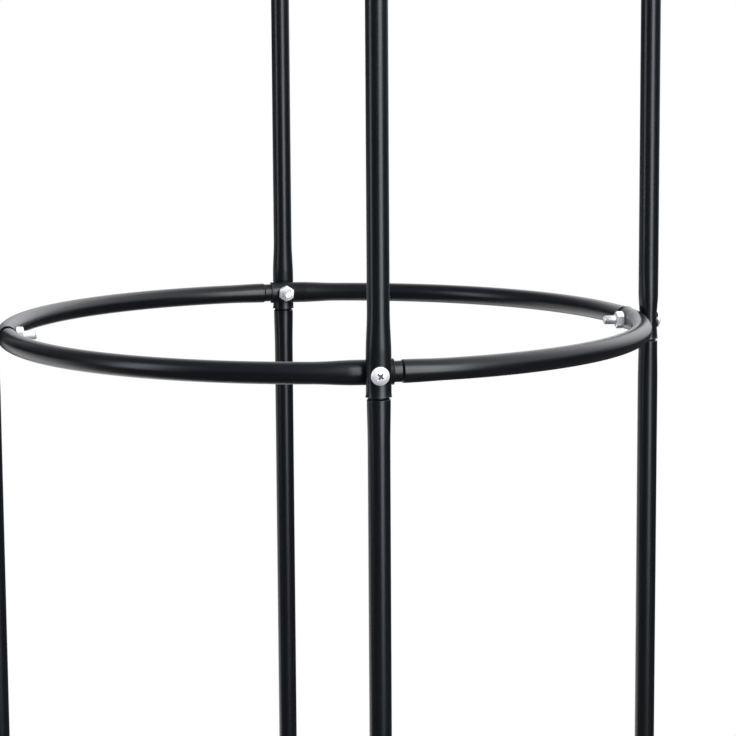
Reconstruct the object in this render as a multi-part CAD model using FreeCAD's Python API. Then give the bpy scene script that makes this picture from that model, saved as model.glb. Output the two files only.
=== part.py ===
import FreeCAD, Part

"""Garden obelisk: a round climbing frame of bolted steel tube, 2.2 m tall.

Four uprights stand on a circle. Each is three straight sections, one above the other, and ends in a
curved rib of the dome. Three horizontal rings, of four quarter arcs each, tie the uprights together on
their inner side. A ball finial stands on the hub where the ribs meet.

Every section and every arc has one swaged neck and one open socket. At a ring joint the lower upright's
neck sits in the upper upright's socket, and one arc's neck sits in the next arc's socket. A single
screw goes from outside through all four walls, and its nut is inside the ring. The clamping presses the
sockets and the necks oval, flat side to flat side.

Frame: millimetres, +Z up, origin on the ground under the centre. The uprights stand on the X and Y axes:
front is -Y, right is +X, back is +Y and left is -X.
"""

import math
import os

V = FreeCAD.Vector

# Overall sizes
RING_RADIUS = 267.0  # centre-line of the ring tube
STAGE_HEIGHT = 550.0  # from one ring's screws to the next ring's, and from the ground to the first
RING_NAMES = ("lower", "middle", "upper")
DOME_SPRING = 70.0  # straight start of a dome rib above the upper ring's screw
DOME_TURN = 58.0  # degrees that a dome rib bends inwards

# Tube
TUBE_OD = 17.0
TUBE_WALL = 1.0
NECK_CLEARANCE = 0.3  # radial, between a round neck and a round tube bore

# Ring joint
JOINT_PRESS = 1.1  # how far each flat side of a joint is pressed in
PRESS_GAP = 0.1  # left between a pressed neck and its pressed socket
SEAT_GAP = 0.05  # between parts that lie against each other
UPRIGHT_SOCKET_REACH = 16.5  # an upright's socket beyond the screw's axis
RING_SOCKET_REACH = 13.6  # an arc's socket beyond the screw's axis
NECK_REACH = 20.0  # neck beyond the screw's axis
UPRIGHT_NECK_SHOWING = 0.8  # neck in the open, between a socket's lip and the shoulder
RING_NECK_SHOWING = 5.9
SHOULDER_LENGTH = 1.6
SHOULDER_PRESS = 0.45  # share of the joint's press at the shoulder
FLAT_REACH = 14.0  # full press on the tube's side of the screw
PRESS_FADE = 34.0  # length over which the oval turns round again
FADE_STATIONS = 5

# Screws and nuts of the ring joints: M8 domed screws and hexagon nuts
SCREW_D = 8.0
SCREW_SHOWING = 10.5  # screw's end beyond the nut
SCREW_CLEARANCE = 0.3  # radial, in the holes of the four walls
SCREW_HEAD_D = 14.0
SCREW_HEAD_H = 3.3
HEAD_RIM_SHARE = 0.25  # of a domed head's height, under the dome
RECESS_SPAN = 6.4  # tip to tip of the cross recess
RECESS_WIDTH = 1.3
RECESS_DEPTH = 1.8
NUT_FLATS = 13.0
NUT_HEIGHT = 6.5
NUT_FACE_SHARE = 0.95  # of the flats, across a nut's round faces
NUT_CHAMFER = 30.0  # degrees between a face and the turned-down corners
THREAD_CLEARANCE = 0.05
END_CHAMFER_SHARE = 0.125  # of a screw's or stud's diameter

# Hub
HUB_OD = 30.0
HUB_ABOVE = 10.0  # hub above the point where the four stub axes meet
HUB_BELOW = 23.0
HUB_EDGE = 1.5
RIB_TO_AXIS = 27.0  # from a rib's upper lip to the centre line, level
STUB_LENGTH = 26.0  # stub inside a rib
STUB_WALL = 1.6
RIB_STRAIGHT = 30.0  # straight upper end of a rib
CROWN_SCREW_D = 4.2
CROWN_SCREW_CLEARANCE = 0.1  # radial
CROWN_SCREW_LENGTH = 9.0
CROWN_HEAD_D = 8.4
CROWN_HEAD_H = 2.6
CROWN_SCREW_BACK = 13.0  # screw's axis behind the rib's upper lip
CROWN_SLOT_WIDTH = 1.1
CROWN_SLOT_SPAN = 4.4
CROWN_SLOT_DEPTH = 1.3

# Finial
BALL_D = 60.0
BALL_WALL = 1.5
BOSS_D = 18.0
BOSS_DEPTH = 16.0
COLLAR_D = 34.0
COLLAR_H = 13.0
COLLAR_FOOT_H = 3.0
COLLAR_WAIST_D = 17.0
STUD_D = 8.0
STUD_IN_BALL = 12.0
STUD_BELOW = 12.0  # stud under the hub
STUD_CLEARANCE = 0.2
STUD_HOLE_SPARE = 1.0  # the ball's hole is deeper than the stud reaches
STUD_NUT_FLATS = 13.0
STUD_NUT_HEIGHT = 6.5
WASHER_D = 24.0
WASHER_H = 2.0

# Foot plugs
FOOT_FLANGE_H = 3.0
FOOT_PLUG_LENGTH = 20.0
FOOT_PLUG_WALL = 1.6
FOOT_CLEARANCE = 0.1
FOOT_EDGE = 0.8

# Worked out from the above
TUBE_R = TUBE_OD / 2
BORE_R = TUBE_R - TUBE_WALL
NECK_R = BORE_R - NECK_CLEARANCE
NECK_PRESSED = BORE_R - JOINT_PRESS - PRESS_GAP
SEAT_HALF = TUBE_R - JOINT_PRESS
UPRIGHT_RADIUS = RING_RADIUS + 2 * SEAT_HALF + SEAT_GAP
RING_HEIGHTS = [STAGE_HEIGHT * (i + 1) for i in range(len(RING_NAMES))]
SIDES = {"front": -90.0, "right": 0.0, "back": 90.0, "left": 180.0}
ARCS = {"front_right": -90.0, "right_back": 0.0, "back_left": 90.0, "left_front": 180.0}
RIB_RADIUS = (UPRIGHT_RADIUS - RIB_TO_AXIS - RIB_STRAIGHT * math.sin(math.radians(DOME_TURN))) / (
    1 - math.cos(math.radians(DOME_TURN))
)


def turned(shape, degrees, lift=0.0):
    """A copy of a shape, turned about the vertical centre line and raised."""
    copy = shape.copy()
    copy.rotate(V(0, 0, 0), V(0, 0, 1), degrees)
    copy.translate(V(0, 0, lift))
    return copy


class Straight:
    """Axis of the right-hand upright; a place on it is a height."""

    socket_reach = UPRIGHT_SOCKET_REACH
    neck_showing = UPRIGHT_NECK_SHOWING

    @staticmethod
    def frame(place):
        """Centre of the section, its long way and its short way."""
        return V(UPRIGHT_RADIUS, 0, place), V(0, 1, 0), V(-1, 0, 0)

    @staticmethod
    def sweep(face, start, end):
        """Solid that a section makes on its way from one place to another."""
        return face.extrude(V(0, 0, end - start))


class Round:
    """Axis of a ring at the origin's height; a place on it is the length from the right-hand joint."""

    socket_reach = RING_SOCKET_REACH
    neck_showing = RING_NECK_SHOWING

    @staticmethod
    def frame(place):
        """Centre of the section, its long way and its short way."""
        angle = place / RING_RADIUS
        outward = V(math.cos(angle), math.sin(angle), 0)
        return outward * RING_RADIUS, V(0, 0, 1), outward

    @staticmethod
    def sweep(face, start, end):
        """Solid that a section makes on its way from one place to another."""
        return face.revolve(V(0, 0, 0), V(0, 0, 1), math.degrees((end - start) / RING_RADIUS))


def oval(path, place, radius, press):
    """Closed wire of a round tube's section pressed oval; the girth stays the same to first order."""
    centre, long_way, short_way = path.frame(place)
    if press > 0:
        ends = centre + long_way * (radius + press), centre + short_way * (radius - press)
        curve = Part.Ellipse(*ends, centre)
    else:
        curve = Part.Circle(centre, long_way.cross(short_way), radius)
        curve.XAxis = long_way
    return Part.Wire(curve.toShape())


def fade(share):
    """Smooth fall from 1 to 0 as share goes from 0 to 1."""
    return 1 - share * share * (3 - 2 * share)


def even_tube(path, start, end, outer_r, inner_r, press):
    """Hollow tube with one section all the way."""
    low, high = sorted((start, end))
    skin, core = [path.sweep(Part.Face(oval(path, low, r, press)), low, high) for r in (outer_r, inner_r)]
    return skin.cut(core)


def changing_tube(path, stations):
    """Hollow tube through stations of (place, outer radius, inner radius, press)."""
    outer = [oval(path, place, outer_r, press) for place, outer_r, inner_r, press in stations]
    inner = [oval(path, place, inner_r, press) for place, outer_r, inner_r, press in stations]
    ruled = len(stations) == 2
    return Part.makeLoft(outer, True, ruled).cut(Part.makeLoft(inner, True, ruled))


def neck_end_length(path):
    """Length from a screw's axis over a neck, its shoulder and the fading press, to round tube."""
    return path.socket_reach + path.neck_showing + SHOULDER_LENGTH + PRESS_FADE


def socket_end(path, screw, way):
    """Open pressed end of a tube at a screw; way is +1 where the tube goes on along the path."""
    lip = screw - way * path.socket_reach
    flat = screw + way * FLAT_REACH
    return [even_tube(path, lip, flat, TUBE_R, BORE_R, JOINT_PRESS), faded(path, flat, way, JOINT_PRESS)]


def neck_end(path, screw, way):
    """Swaged end of a tube at a screw: pressed neck, shoulder, and the tube turning round again."""
    neck_press = NECK_R - NECK_PRESSED
    shoulder_press = JOINT_PRESS * SHOULDER_PRESS
    tip = screw - way * NECK_REACH
    foot = screw + way * (path.socket_reach + path.neck_showing)
    top = foot + way * SHOULDER_LENGTH
    neck = (NECK_R, NECK_R - TUBE_WALL, neck_press)
    shoulder = changing_tube(path, [(foot, *neck), (top, TUBE_R, BORE_R, shoulder_press)])
    return [even_tube(path, tip, foot, *neck), shoulder, faded(path, top, way, shoulder_press)]


def faded(path, start, way, press):
    """The stretch of tube over which a press of the given depth fades out."""
    stations = []
    for i in range(FADE_STATIONS + 1):
        share = i / FADE_STATIONS
        stations.append((start + way * PRESS_FADE * share, TUBE_R, BORE_R, press * fade(share)))
    return changing_tube(path, stations)


def joined(pieces):
    """One solid from pieces that meet face to face."""
    whole = pieces[0].fuse(pieces[1:]).removeSplitter()
    return Part.Solid(whole.Shells[0]) if len(whole.Solids) != 1 else whole.Solids[0]


def screw_hole(radius, height):
    """Cutter for a ring joint's screw hole through everything at one side."""
    length = 4 * TUBE_OD
    middle = V(radius - length / 2, 0, height)
    return Part.makeCylinder(SCREW_D / 2 + SCREW_CLEARANCE, length, middle, V(1, 0, 0))


def upright(stage):
    """One upright section, at the right-hand side. The bottom one starts at its foot plug."""
    top_screw = RING_HEIGHTS[stage]
    fade_end = top_screw - neck_end_length(Straight)
    pieces = neck_end(Straight, top_screw, -1)
    low = FOOT_FLANGE_H
    if stage > 0:
        low_screw = RING_HEIGHTS[stage - 1]
        pieces += socket_end(Straight, low_screw, 1)
        low = low_screw + FLAT_REACH + PRESS_FADE
    body = joined(pieces + [even_tube(Straight, low, fade_end, TUBE_R, BORE_R, 0)])
    body = body.cut(screw_hole(UPRIGHT_RADIUS, top_screw))
    if stage > 0:
        body = body.cut(screw_hole(UPRIGHT_RADIUS, RING_HEIGHTS[stage - 1]))
    return body


def ring_arc():
    """One quarter of a ring, from the right-hand joint to the back joint, at the origin's height."""
    quarter = RING_RADIUS * math.pi / 2
    plain_start = neck_end_length(Round)
    plain_end = quarter - FLAT_REACH - PRESS_FADE
    plain = even_tube(Round, plain_start, plain_end, TUBE_R, BORE_R, 0)
    body = joined(neck_end(Round, 0.0, 1) + socket_end(Round, quarter, -1) + [plain])
    hole = screw_hole(RING_RADIUS, 0.0)
    return body.cut(hole).cut(turned(hole, 90.0))


def rib_places():
    """Spring point, end of the bend, upper lip and inward tangent of a rib, in the plane y = 0."""
    turn = math.radians(DOME_TURN)
    spring = V(UPRIGHT_RADIUS, 0, RING_HEIGHTS[-1] + DOME_SPRING)
    bend_end = spring + V(-RIB_RADIUS * (1 - math.cos(turn)), 0, RIB_RADIUS * math.sin(turn))
    inward = V(-math.sin(turn), 0, math.cos(turn))
    return spring, bend_end, bend_end + inward * RIB_STRAIGHT, inward


def hub_height():
    """Height at which the four stub axes meet."""
    lip = rib_places()[2]
    return lip.z + RIB_TO_AXIS / math.tan(math.radians(DOME_TURN))


def dome_rib():
    """One curved rib of the dome, at the right-hand side."""
    screw = RING_HEIGHTS[-1]
    spring, bend_end, lip, inward = rib_places()
    pivot = spring - V(RIB_RADIUS, 0, 0)
    sections = [Part.Face(oval(Straight, spring.z, r, 0)) for r in (TUBE_R, BORE_R)]
    skin, core = [section.revolve(pivot, V(0, -1, 0), DOME_TURN) for section in sections]
    end = Part.makeCylinder(TUBE_R, RIB_STRAIGHT, bend_end, inward)
    end = end.cut(Part.makeCylinder(BORE_R, RIB_STRAIGHT, bend_end, inward))
    foot = even_tube(Straight, screw + FLAT_REACH + PRESS_FADE, spring.z, TUBE_R, BORE_R, 0)
    body = joined(socket_end(Straight, screw, 1) + [foot, skin.cut(core), end])
    return body.cut(screw_hole(UPRIGHT_RADIUS, screw)).cut(crown_screw_hole())


def crown_screw_axis():
    """Point on a rib's axis under the crown screw, and the screw's outward direction."""
    turn = math.radians(DOME_TURN)
    lip, inward = rib_places()[2:]
    return lip - inward * CROWN_SCREW_BACK, V(math.cos(turn), 0, math.sin(turn))


def crown_screw_hole():
    """Cutter for the crown screw's hole, through the outer wall of the rib and of the stub."""
    middle, outward = crown_screw_axis()
    return Part.makeCylinder(CROWN_SCREW_D / 2 + CROWN_SCREW_CLEARANCE, TUBE_OD, middle, outward)


def crown_hub():
    """Hub of the dome: a bored core with four hollow stubs welded to it."""
    height = hub_height()
    core = Part.makeCylinder(HUB_OD / 2, HUB_ABOVE + HUB_BELOW, V(0, 0, height - HUB_BELOW))
    core = core.makeChamfer(HUB_EDGE, [e for e in core.Edges if e.Closed])
    lip, inward = rib_places()[2:]
    tip = lip - inward * STUB_LENGTH
    length = (V(0, 0, height) - tip).Length
    bore = (lip - tip).Length
    for side in SIDES.values():
        stub = Part.makeCylinder(NECK_R, length, tip, inward)
        core = core.fuse(turned(stub, side))
    for side in SIDES.values():
        hollow = Part.makeCylinder(NECK_R - STUB_WALL, bore, tip, inward)
        core = core.cut(turned(hollow, side)).cut(turned(crown_screw_hole(), side))
    passage = Part.makeCylinder(STUD_D / 2 + STUD_CLEARANCE, 4 * HUB_OD, V(0, 0, height - 2 * HUB_OD))
    return core.cut(passage).removeSplitter().Solids[0]


def domed_head(radius, height):
    """Low domed screw head standing on the plane z = 0, as a segment of a sphere on a thin rim."""
    rise = height * (1 - HEAD_RIM_SHARE)
    sphere_r = (radius * radius + rise * rise) / (2 * rise)
    crown = Part.makeSphere(sphere_r, V(0, 0, height - sphere_r))
    return Part.makeCylinder(radius, height).common(crown)


def nut_seat():
    """Distance of a ring nut's seat from the centre line: its face's rim meets the curve of the ring."""
    inside = RING_RADIUS - SEAT_HALF
    return math.sqrt(inside * inside - (NUT_FACE_SHARE * NUT_FLATS / 2) ** 2) - SEAT_GAP


def ring_screws(height):
    """Four domed screws of one ring, with cross recesses."""
    head = domed_head(SCREW_HEAD_D / 2, SCREW_HEAD_H)
    bottom = SCREW_HEAD_H - RECESS_DEPTH
    for size in ((RECESS_SPAN, RECESS_WIDTH), (RECESS_WIDTH, RECESS_SPAN)):
        bar = Part.makeBox(*size, SCREW_HEAD_H, V(-size[0] / 2, -size[1] / 2, bottom))
        head = head.cut(bar)
    seat = UPRIGHT_RADIUS + SEAT_HALF + SEAT_GAP
    length = seat - nut_seat() + NUT_HEIGHT + SCREW_SHOWING
    shank = Part.makeCylinder(SCREW_D / 2, length, V(0, 0, -length))
    tip = [e for e in shank.Edges if e.Closed and e.CenterOfMass.z < -length / 2]
    screw = head.fuse(shank.makeChamfer(SCREW_D * END_CHAMFER_SHARE, tip)).removeSplitter()
    screw.rotate(V(0, 0, 0), V(0, 1, 0), 90)
    screw.translate(V(seat, 0, 0))
    return Part.makeCompound([turned(screw, side, height) for side in SIDES.values()])


def hexagon_nut(flats, height, thread_d):
    """Hexagonal nut on the plane z = 0, the corners of both faces turned down."""
    sixth = math.radians(60)
    corner = flats / 2 / math.cos(sixth / 2)
    points = [V(corner * math.cos(sixth * i), corner * math.sin(sixth * i), 0) for i in range(7)]
    face = NUT_FACE_SHARE * flats / 2
    wide = face + height / math.tan(math.radians(NUT_CHAMFER))
    nut = Part.Face(Part.makePolygon(points)).extrude(V(0, 0, height))
    for cone in (Part.makeCone(wide, face, height), Part.makeCone(face, wide, height)):
        nut = nut.common(cone)
    return nut.cut(Part.makeCylinder(thread_d / 2 + THREAD_CLEARANCE, height))


def ring_nuts(height):
    """Four nuts of one ring, against the ring's inner side."""
    nut = hexagon_nut(NUT_FLATS, NUT_HEIGHT, SCREW_D)
    nut.rotate(V(0, 0, 0), V(0, 1, 0), -90)
    nut.translate(V(nut_seat(), 0, 0))
    return Part.makeCompound([turned(nut, side, height) for side in SIDES.values()])


def crown_screws():
    """Four self-tapping screws that hold the ribs on the hub's stubs."""
    head = domed_head(CROWN_HEAD_D / 2, CROWN_HEAD_H)
    bottom = CROWN_HEAD_H - CROWN_SLOT_DEPTH
    for size in ((CROWN_SLOT_SPAN, CROWN_SLOT_WIDTH), (CROWN_SLOT_WIDTH, CROWN_SLOT_SPAN)):
        head = head.cut(Part.makeBox(*size, CROWN_HEAD_H, V(-size[0] / 2, -size[1] / 2, bottom)))
    shank = Part.makeCylinder(CROWN_SCREW_D / 2, CROWN_SCREW_LENGTH, V(0, 0, -CROWN_SCREW_LENGTH))
    screw = head.fuse(shank).removeSplitter()
    middle, outward = crown_screw_axis()
    screw.rotate(V(0, 0, 0), V(0, 1, 0), 90 - DOME_TURN)
    screw.translate(middle + outward * (TUBE_R + SEAT_GAP))
    return Part.makeCompound([turned(screw, side) for side in SIDES.values()])


def finial_base():
    """Height of the hub's top face."""
    return hub_height() + HUB_ABOVE


def ball_centre():
    """Height of the finial ball's centre, sunk so that its flat seat is as wide as the boss."""
    half = BALL_D / 2
    seat = math.sqrt(half * half - (BOSS_D / 2) ** 2)
    return finial_base() + COLLAR_H + 2 * SEAT_GAP + seat


def finial_collar():
    """Turned collar between the hub and the ball, with a hollow waist."""
    base = finial_base() + SEAT_GAP
    half, waist, seat = COLLAR_D / 2, COLLAR_WAIST_D / 2, BOSS_D / 2
    foot_edge = V(half, 0, base + COLLAR_FOOT_H)
    top_edge = V(seat, 0, base + COLLAR_H)
    throat = V(waist, 0, base + (COLLAR_FOOT_H + 2 * COLLAR_H) / 3)
    axis_low, axis_high = V(0, 0, base), V(0, 0, base + COLLAR_H)
    outline = [
        Part.makeLine(axis_low, V(half, 0, base)),
        Part.makeLine(V(half, 0, base), foot_edge),
        Part.Arc(foot_edge, throat, top_edge).toShape(),
        Part.makeLine(top_edge, axis_high),
        Part.makeLine(axis_high, axis_low),
    ]
    body = Part.Face(Part.Wire(outline)).revolve(V(0, 0, 0), V(0, 0, 1), 360)
    return body.cut(Part.makeCylinder(STUD_D / 2 + STUD_CLEARANCE, COLLAR_H, axis_low))


def finial_ball():
    """Hollow ball with a bored boss welded in at its foot."""
    centre = V(0, 0, ball_centre())
    seat = finial_base() + COLLAR_H + 2 * SEAT_GAP
    ball = Part.makeSphere(BALL_D / 2, centre).cut(Part.makeSphere(BALL_D / 2 - BALL_WALL, centre))
    under = Part.makeCylinder(BALL_D, BALL_D, V(0, 0, seat - BALL_D))
    boss = Part.makeCylinder(BOSS_D / 2, BOSS_DEPTH, V(0, 0, seat))
    hole = Part.makeCylinder(STUD_D / 2 + THREAD_CLEARANCE, STUD_IN_BALL + STUD_HOLE_SPARE, V(0, 0, seat))
    return ball.cut(under).fuse(boss).cut(hole).removeSplitter().Solids[0]


def finial_stud():
    """Threaded stud through collar and hub, up into the ball's boss."""
    top = finial_base() + COLLAR_H + STUD_IN_BALL
    low = finial_base() - HUB_ABOVE - HUB_BELOW - STUD_BELOW
    stud = Part.makeCylinder(STUD_D / 2, top - low, V(0, 0, low))
    return stud.makeChamfer(STUD_D * END_CHAMFER_SHARE, [e for e in stud.Edges if e.Closed])


def finial_washer():
    """Flat washer under the hub."""
    low = finial_base() - HUB_ABOVE - HUB_BELOW - SEAT_GAP - WASHER_H
    ring = Part.makeCylinder(WASHER_D / 2, WASHER_H, V(0, 0, low))
    return ring.cut(Part.makeCylinder(STUD_D / 2 + STUD_CLEARANCE, WASHER_H, V(0, 0, low)))


def finial_nut():
    """Hexagon nut that pulls the finial down on the hub."""
    low = finial_base() - HUB_ABOVE - HUB_BELOW - 2 * SEAT_GAP - WASHER_H - STUD_NUT_HEIGHT
    nut = hexagon_nut(STUD_NUT_FLATS, STUD_NUT_HEIGHT, STUD_D)
    nut.translate(V(0, 0, low))
    return nut


def foot_plug():
    """Moulded plug in the right-hand upright's lower end: a cup with a flange as wide as the tube."""
    flange = Part.makeCylinder(TUBE_R, FOOT_FLANGE_H - SEAT_GAP, V(UPRIGHT_RADIUS, 0, 0))
    under = [e for e in flange.Edges if e.Closed and e.CenterOfMass.z < SEAT_GAP]
    flange = flange.makeChamfer(FOOT_EDGE, under)
    plug_r = BORE_R - FOOT_CLEARANCE
    plug = Part.makeCylinder(plug_r, FOOT_PLUG_LENGTH, V(UPRIGHT_RADIUS, 0, 0))
    inside = V(UPRIGHT_RADIUS, 0, FOOT_FLANGE_H)
    plug = plug.cut(Part.makeCylinder(plug_r - FOOT_PLUG_WALL, FOOT_PLUG_LENGTH, inside))
    low_part = Part.makeCylinder(TUBE_OD, FOOT_FLANGE_H / 2, V(UPRIGHT_RADIUS, 0, 0))
    return flange.fuse(plug.cut(low_part)).removeSplitter()


def build():
    """Every node's name and shape."""
    nodes = {}
    sections = [upright(stage) for stage in range(len(RING_NAMES))]
    rib, plug, arc = dome_rib(), foot_plug(), ring_arc()
    for side, angle in SIDES.items():
        for name, section in zip(("bottom", "middle", "top"), sections):
            nodes[f"upright_{name}_{side}"] = turned(section, angle)
        nodes[f"dome_rib_{side}"] = turned(rib, angle)
        nodes[f"foot_plug_{side}"] = turned(plug, angle)
    for name, height in zip(RING_NAMES, RING_HEIGHTS):
        for arc_name, angle in ARCS.items():
            nodes[f"ring_{name}_{arc_name}"] = turned(arc, angle, height)
        nodes[f"ring_{name}_screws"] = ring_screws(height)
        nodes[f"ring_{name}_nuts"] = ring_nuts(height)
    nodes["crown_hub"] = crown_hub()
    nodes["crown_screws"] = crown_screws()
    nodes["finial_collar"] = finial_collar()
    nodes["finial_ball"] = finial_ball()
    nodes["finial_stud"] = finial_stud()
    nodes["finial_washer"] = finial_washer()
    nodes["finial_nut"] = finial_nut()
    return nodes


def main():
    """Writes one STEP file for each node."""
    os.makedirs("parts", exist_ok=True)
    for name, shape in build().items():
        shape.exportStep(f"parts/{name}.step")


if __name__ == "__main__":
    main()
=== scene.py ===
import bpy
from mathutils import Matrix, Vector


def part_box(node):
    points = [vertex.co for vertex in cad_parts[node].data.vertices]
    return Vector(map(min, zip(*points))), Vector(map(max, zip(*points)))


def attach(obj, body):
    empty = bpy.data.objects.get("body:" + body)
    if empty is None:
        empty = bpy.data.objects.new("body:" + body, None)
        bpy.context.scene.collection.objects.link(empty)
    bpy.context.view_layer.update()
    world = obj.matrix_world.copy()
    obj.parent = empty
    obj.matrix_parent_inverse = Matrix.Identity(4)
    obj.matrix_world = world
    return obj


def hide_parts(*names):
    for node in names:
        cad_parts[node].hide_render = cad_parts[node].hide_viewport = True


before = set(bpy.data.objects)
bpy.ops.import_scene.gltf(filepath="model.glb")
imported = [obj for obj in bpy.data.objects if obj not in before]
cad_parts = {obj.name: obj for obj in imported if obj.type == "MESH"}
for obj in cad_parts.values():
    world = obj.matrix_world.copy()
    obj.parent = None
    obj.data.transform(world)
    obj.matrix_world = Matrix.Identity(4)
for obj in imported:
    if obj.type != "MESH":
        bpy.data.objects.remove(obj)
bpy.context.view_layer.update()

"""Garden obelisk of bolted steel tube in satin black powder coat, with plated screws and nuts.

Every surface is a grid of points computed from a formula. Sizes are in metres and angles in radians
unless a name says otherwise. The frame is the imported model's: +Z up, origin on the ground under the
centre, front -Y, right +X.
"""

import logging
import math
from abc import ABC, abstractmethod
from dataclasses import dataclass, field
from enum import Enum
from typing import Callable, Iterable, Sequence, Union

import bpy
import numpy as np
from mathutils import Matrix

LOG = logging.getLogger("obelisk")
MM = 0.001
TAU = 2.0 * math.pi
SEED = 1909
SHARP_ANGLE = math.radians(38.0)

Array = np.ndarray
UP: Array = np.array([0.0, 0.0, 1.0])
BACKWARD: Array = np.array([0.0, 1.0, 0.0])


class Bearing(Enum):
    """A named level direction from the centre line, in degrees from the right."""

    @property
    def angle(self) -> float:
        """The direction in radians."""
        return math.radians(self.value)

    @property
    def label(self) -> str:
        """The name as the nodes' names spell it."""
        return self.name.lower()


class Side(Bearing):
    """The four sides that an upright stands on."""

    FRONT = -90.0
    RIGHT = 0.0
    BACK = 90.0
    LEFT = 180.0


class Quarter(Bearing):
    """The four arcs of a ring, by the direction of the joint that they start at."""

    FRONT_RIGHT = -90.0
    RIGHT_BACK = 0.0
    BACK_LEFT = 90.0
    LEFT_FRONT = 180.0


class Stage(Enum):
    """Heights of the frame, by the word that its nodes use."""

    LOWER = "lower"
    MIDDLE = "middle"
    UPPER = "upper"


# Numbers ---------------------------------------------------------------------------------------------


def smooth(share: Union[Array, float]) -> Union[Array, float]:
    """Smooth step: three times the square less twice the cube of a share kept between 0 and 1."""
    kept = np.clip(share, 0.0, 1.0)
    return kept * kept * (3.0 - 2.0 * kept)


def steps(start: float, end: float, pitch: float) -> Array:
    """Evenly spaced values from start up to but without end, about a pitch apart."""
    count = max(1, int(math.ceil(abs(end - start) / pitch)))
    return np.linspace(start, end, count, endpoint=False)


def full_turn(count: int) -> Array:
    """Evenly spaced angles of one whole turn."""
    return np.linspace(0.0, TAU, count, endpoint=False)


def outward(angle: float) -> Array:
    """Level direction at an angle from the right."""
    return np.array([math.cos(angle), math.sin(angle), 0.0])


def sideways(angle: float) -> Array:
    """Level direction a quarter turn on from the one at an angle."""
    return np.array([-math.sin(angle), math.cos(angle), 0.0])


def about_axis(radius: Array, turn: Array, height: Union[Array, float]) -> Array:
    """Points round an axis: radius times the cosine and the sine of the angle, and the height."""
    level = radius * np.cos(turn)
    return np.stack([level, radius * np.sin(turn), np.broadcast_to(height, level.shape)], axis=-1)


def turned_about_z(points: Array, angle: float) -> Array:
    """Points turned about the vertical centre line."""
    cos, sin = math.cos(angle), math.sin(angle)
    matrix = np.array([[cos, -sin, 0.0], [sin, cos, 0.0], [0.0, 0.0, 1.0]])
    return points @ matrix.T


def standing(across: Array, over: Array, back: Array, place: Array) -> Matrix:
    """Matrix of an object that looks against the back direction from a place."""
    matrix = np.eye(4)
    matrix[:3] = np.stack([across, over, back, place], axis=1)
    return Matrix(matrix.tolist())


def add_object(name: str, data: bpy.types.ID) -> bpy.types.Object:
    """New object in the scene that shows some data."""
    made = bpy.data.objects.new(name, data)
    bpy.context.scene.collection.objects.link(made)
    return made


def node_middle(node: str) -> Array:
    """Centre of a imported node's box."""
    low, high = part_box(node)
    return (np.array(low, dtype=float) + np.array(high, dtype=float)) / 2.0


# Surfaces --------------------------------------------------------------------------------------------


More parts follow.
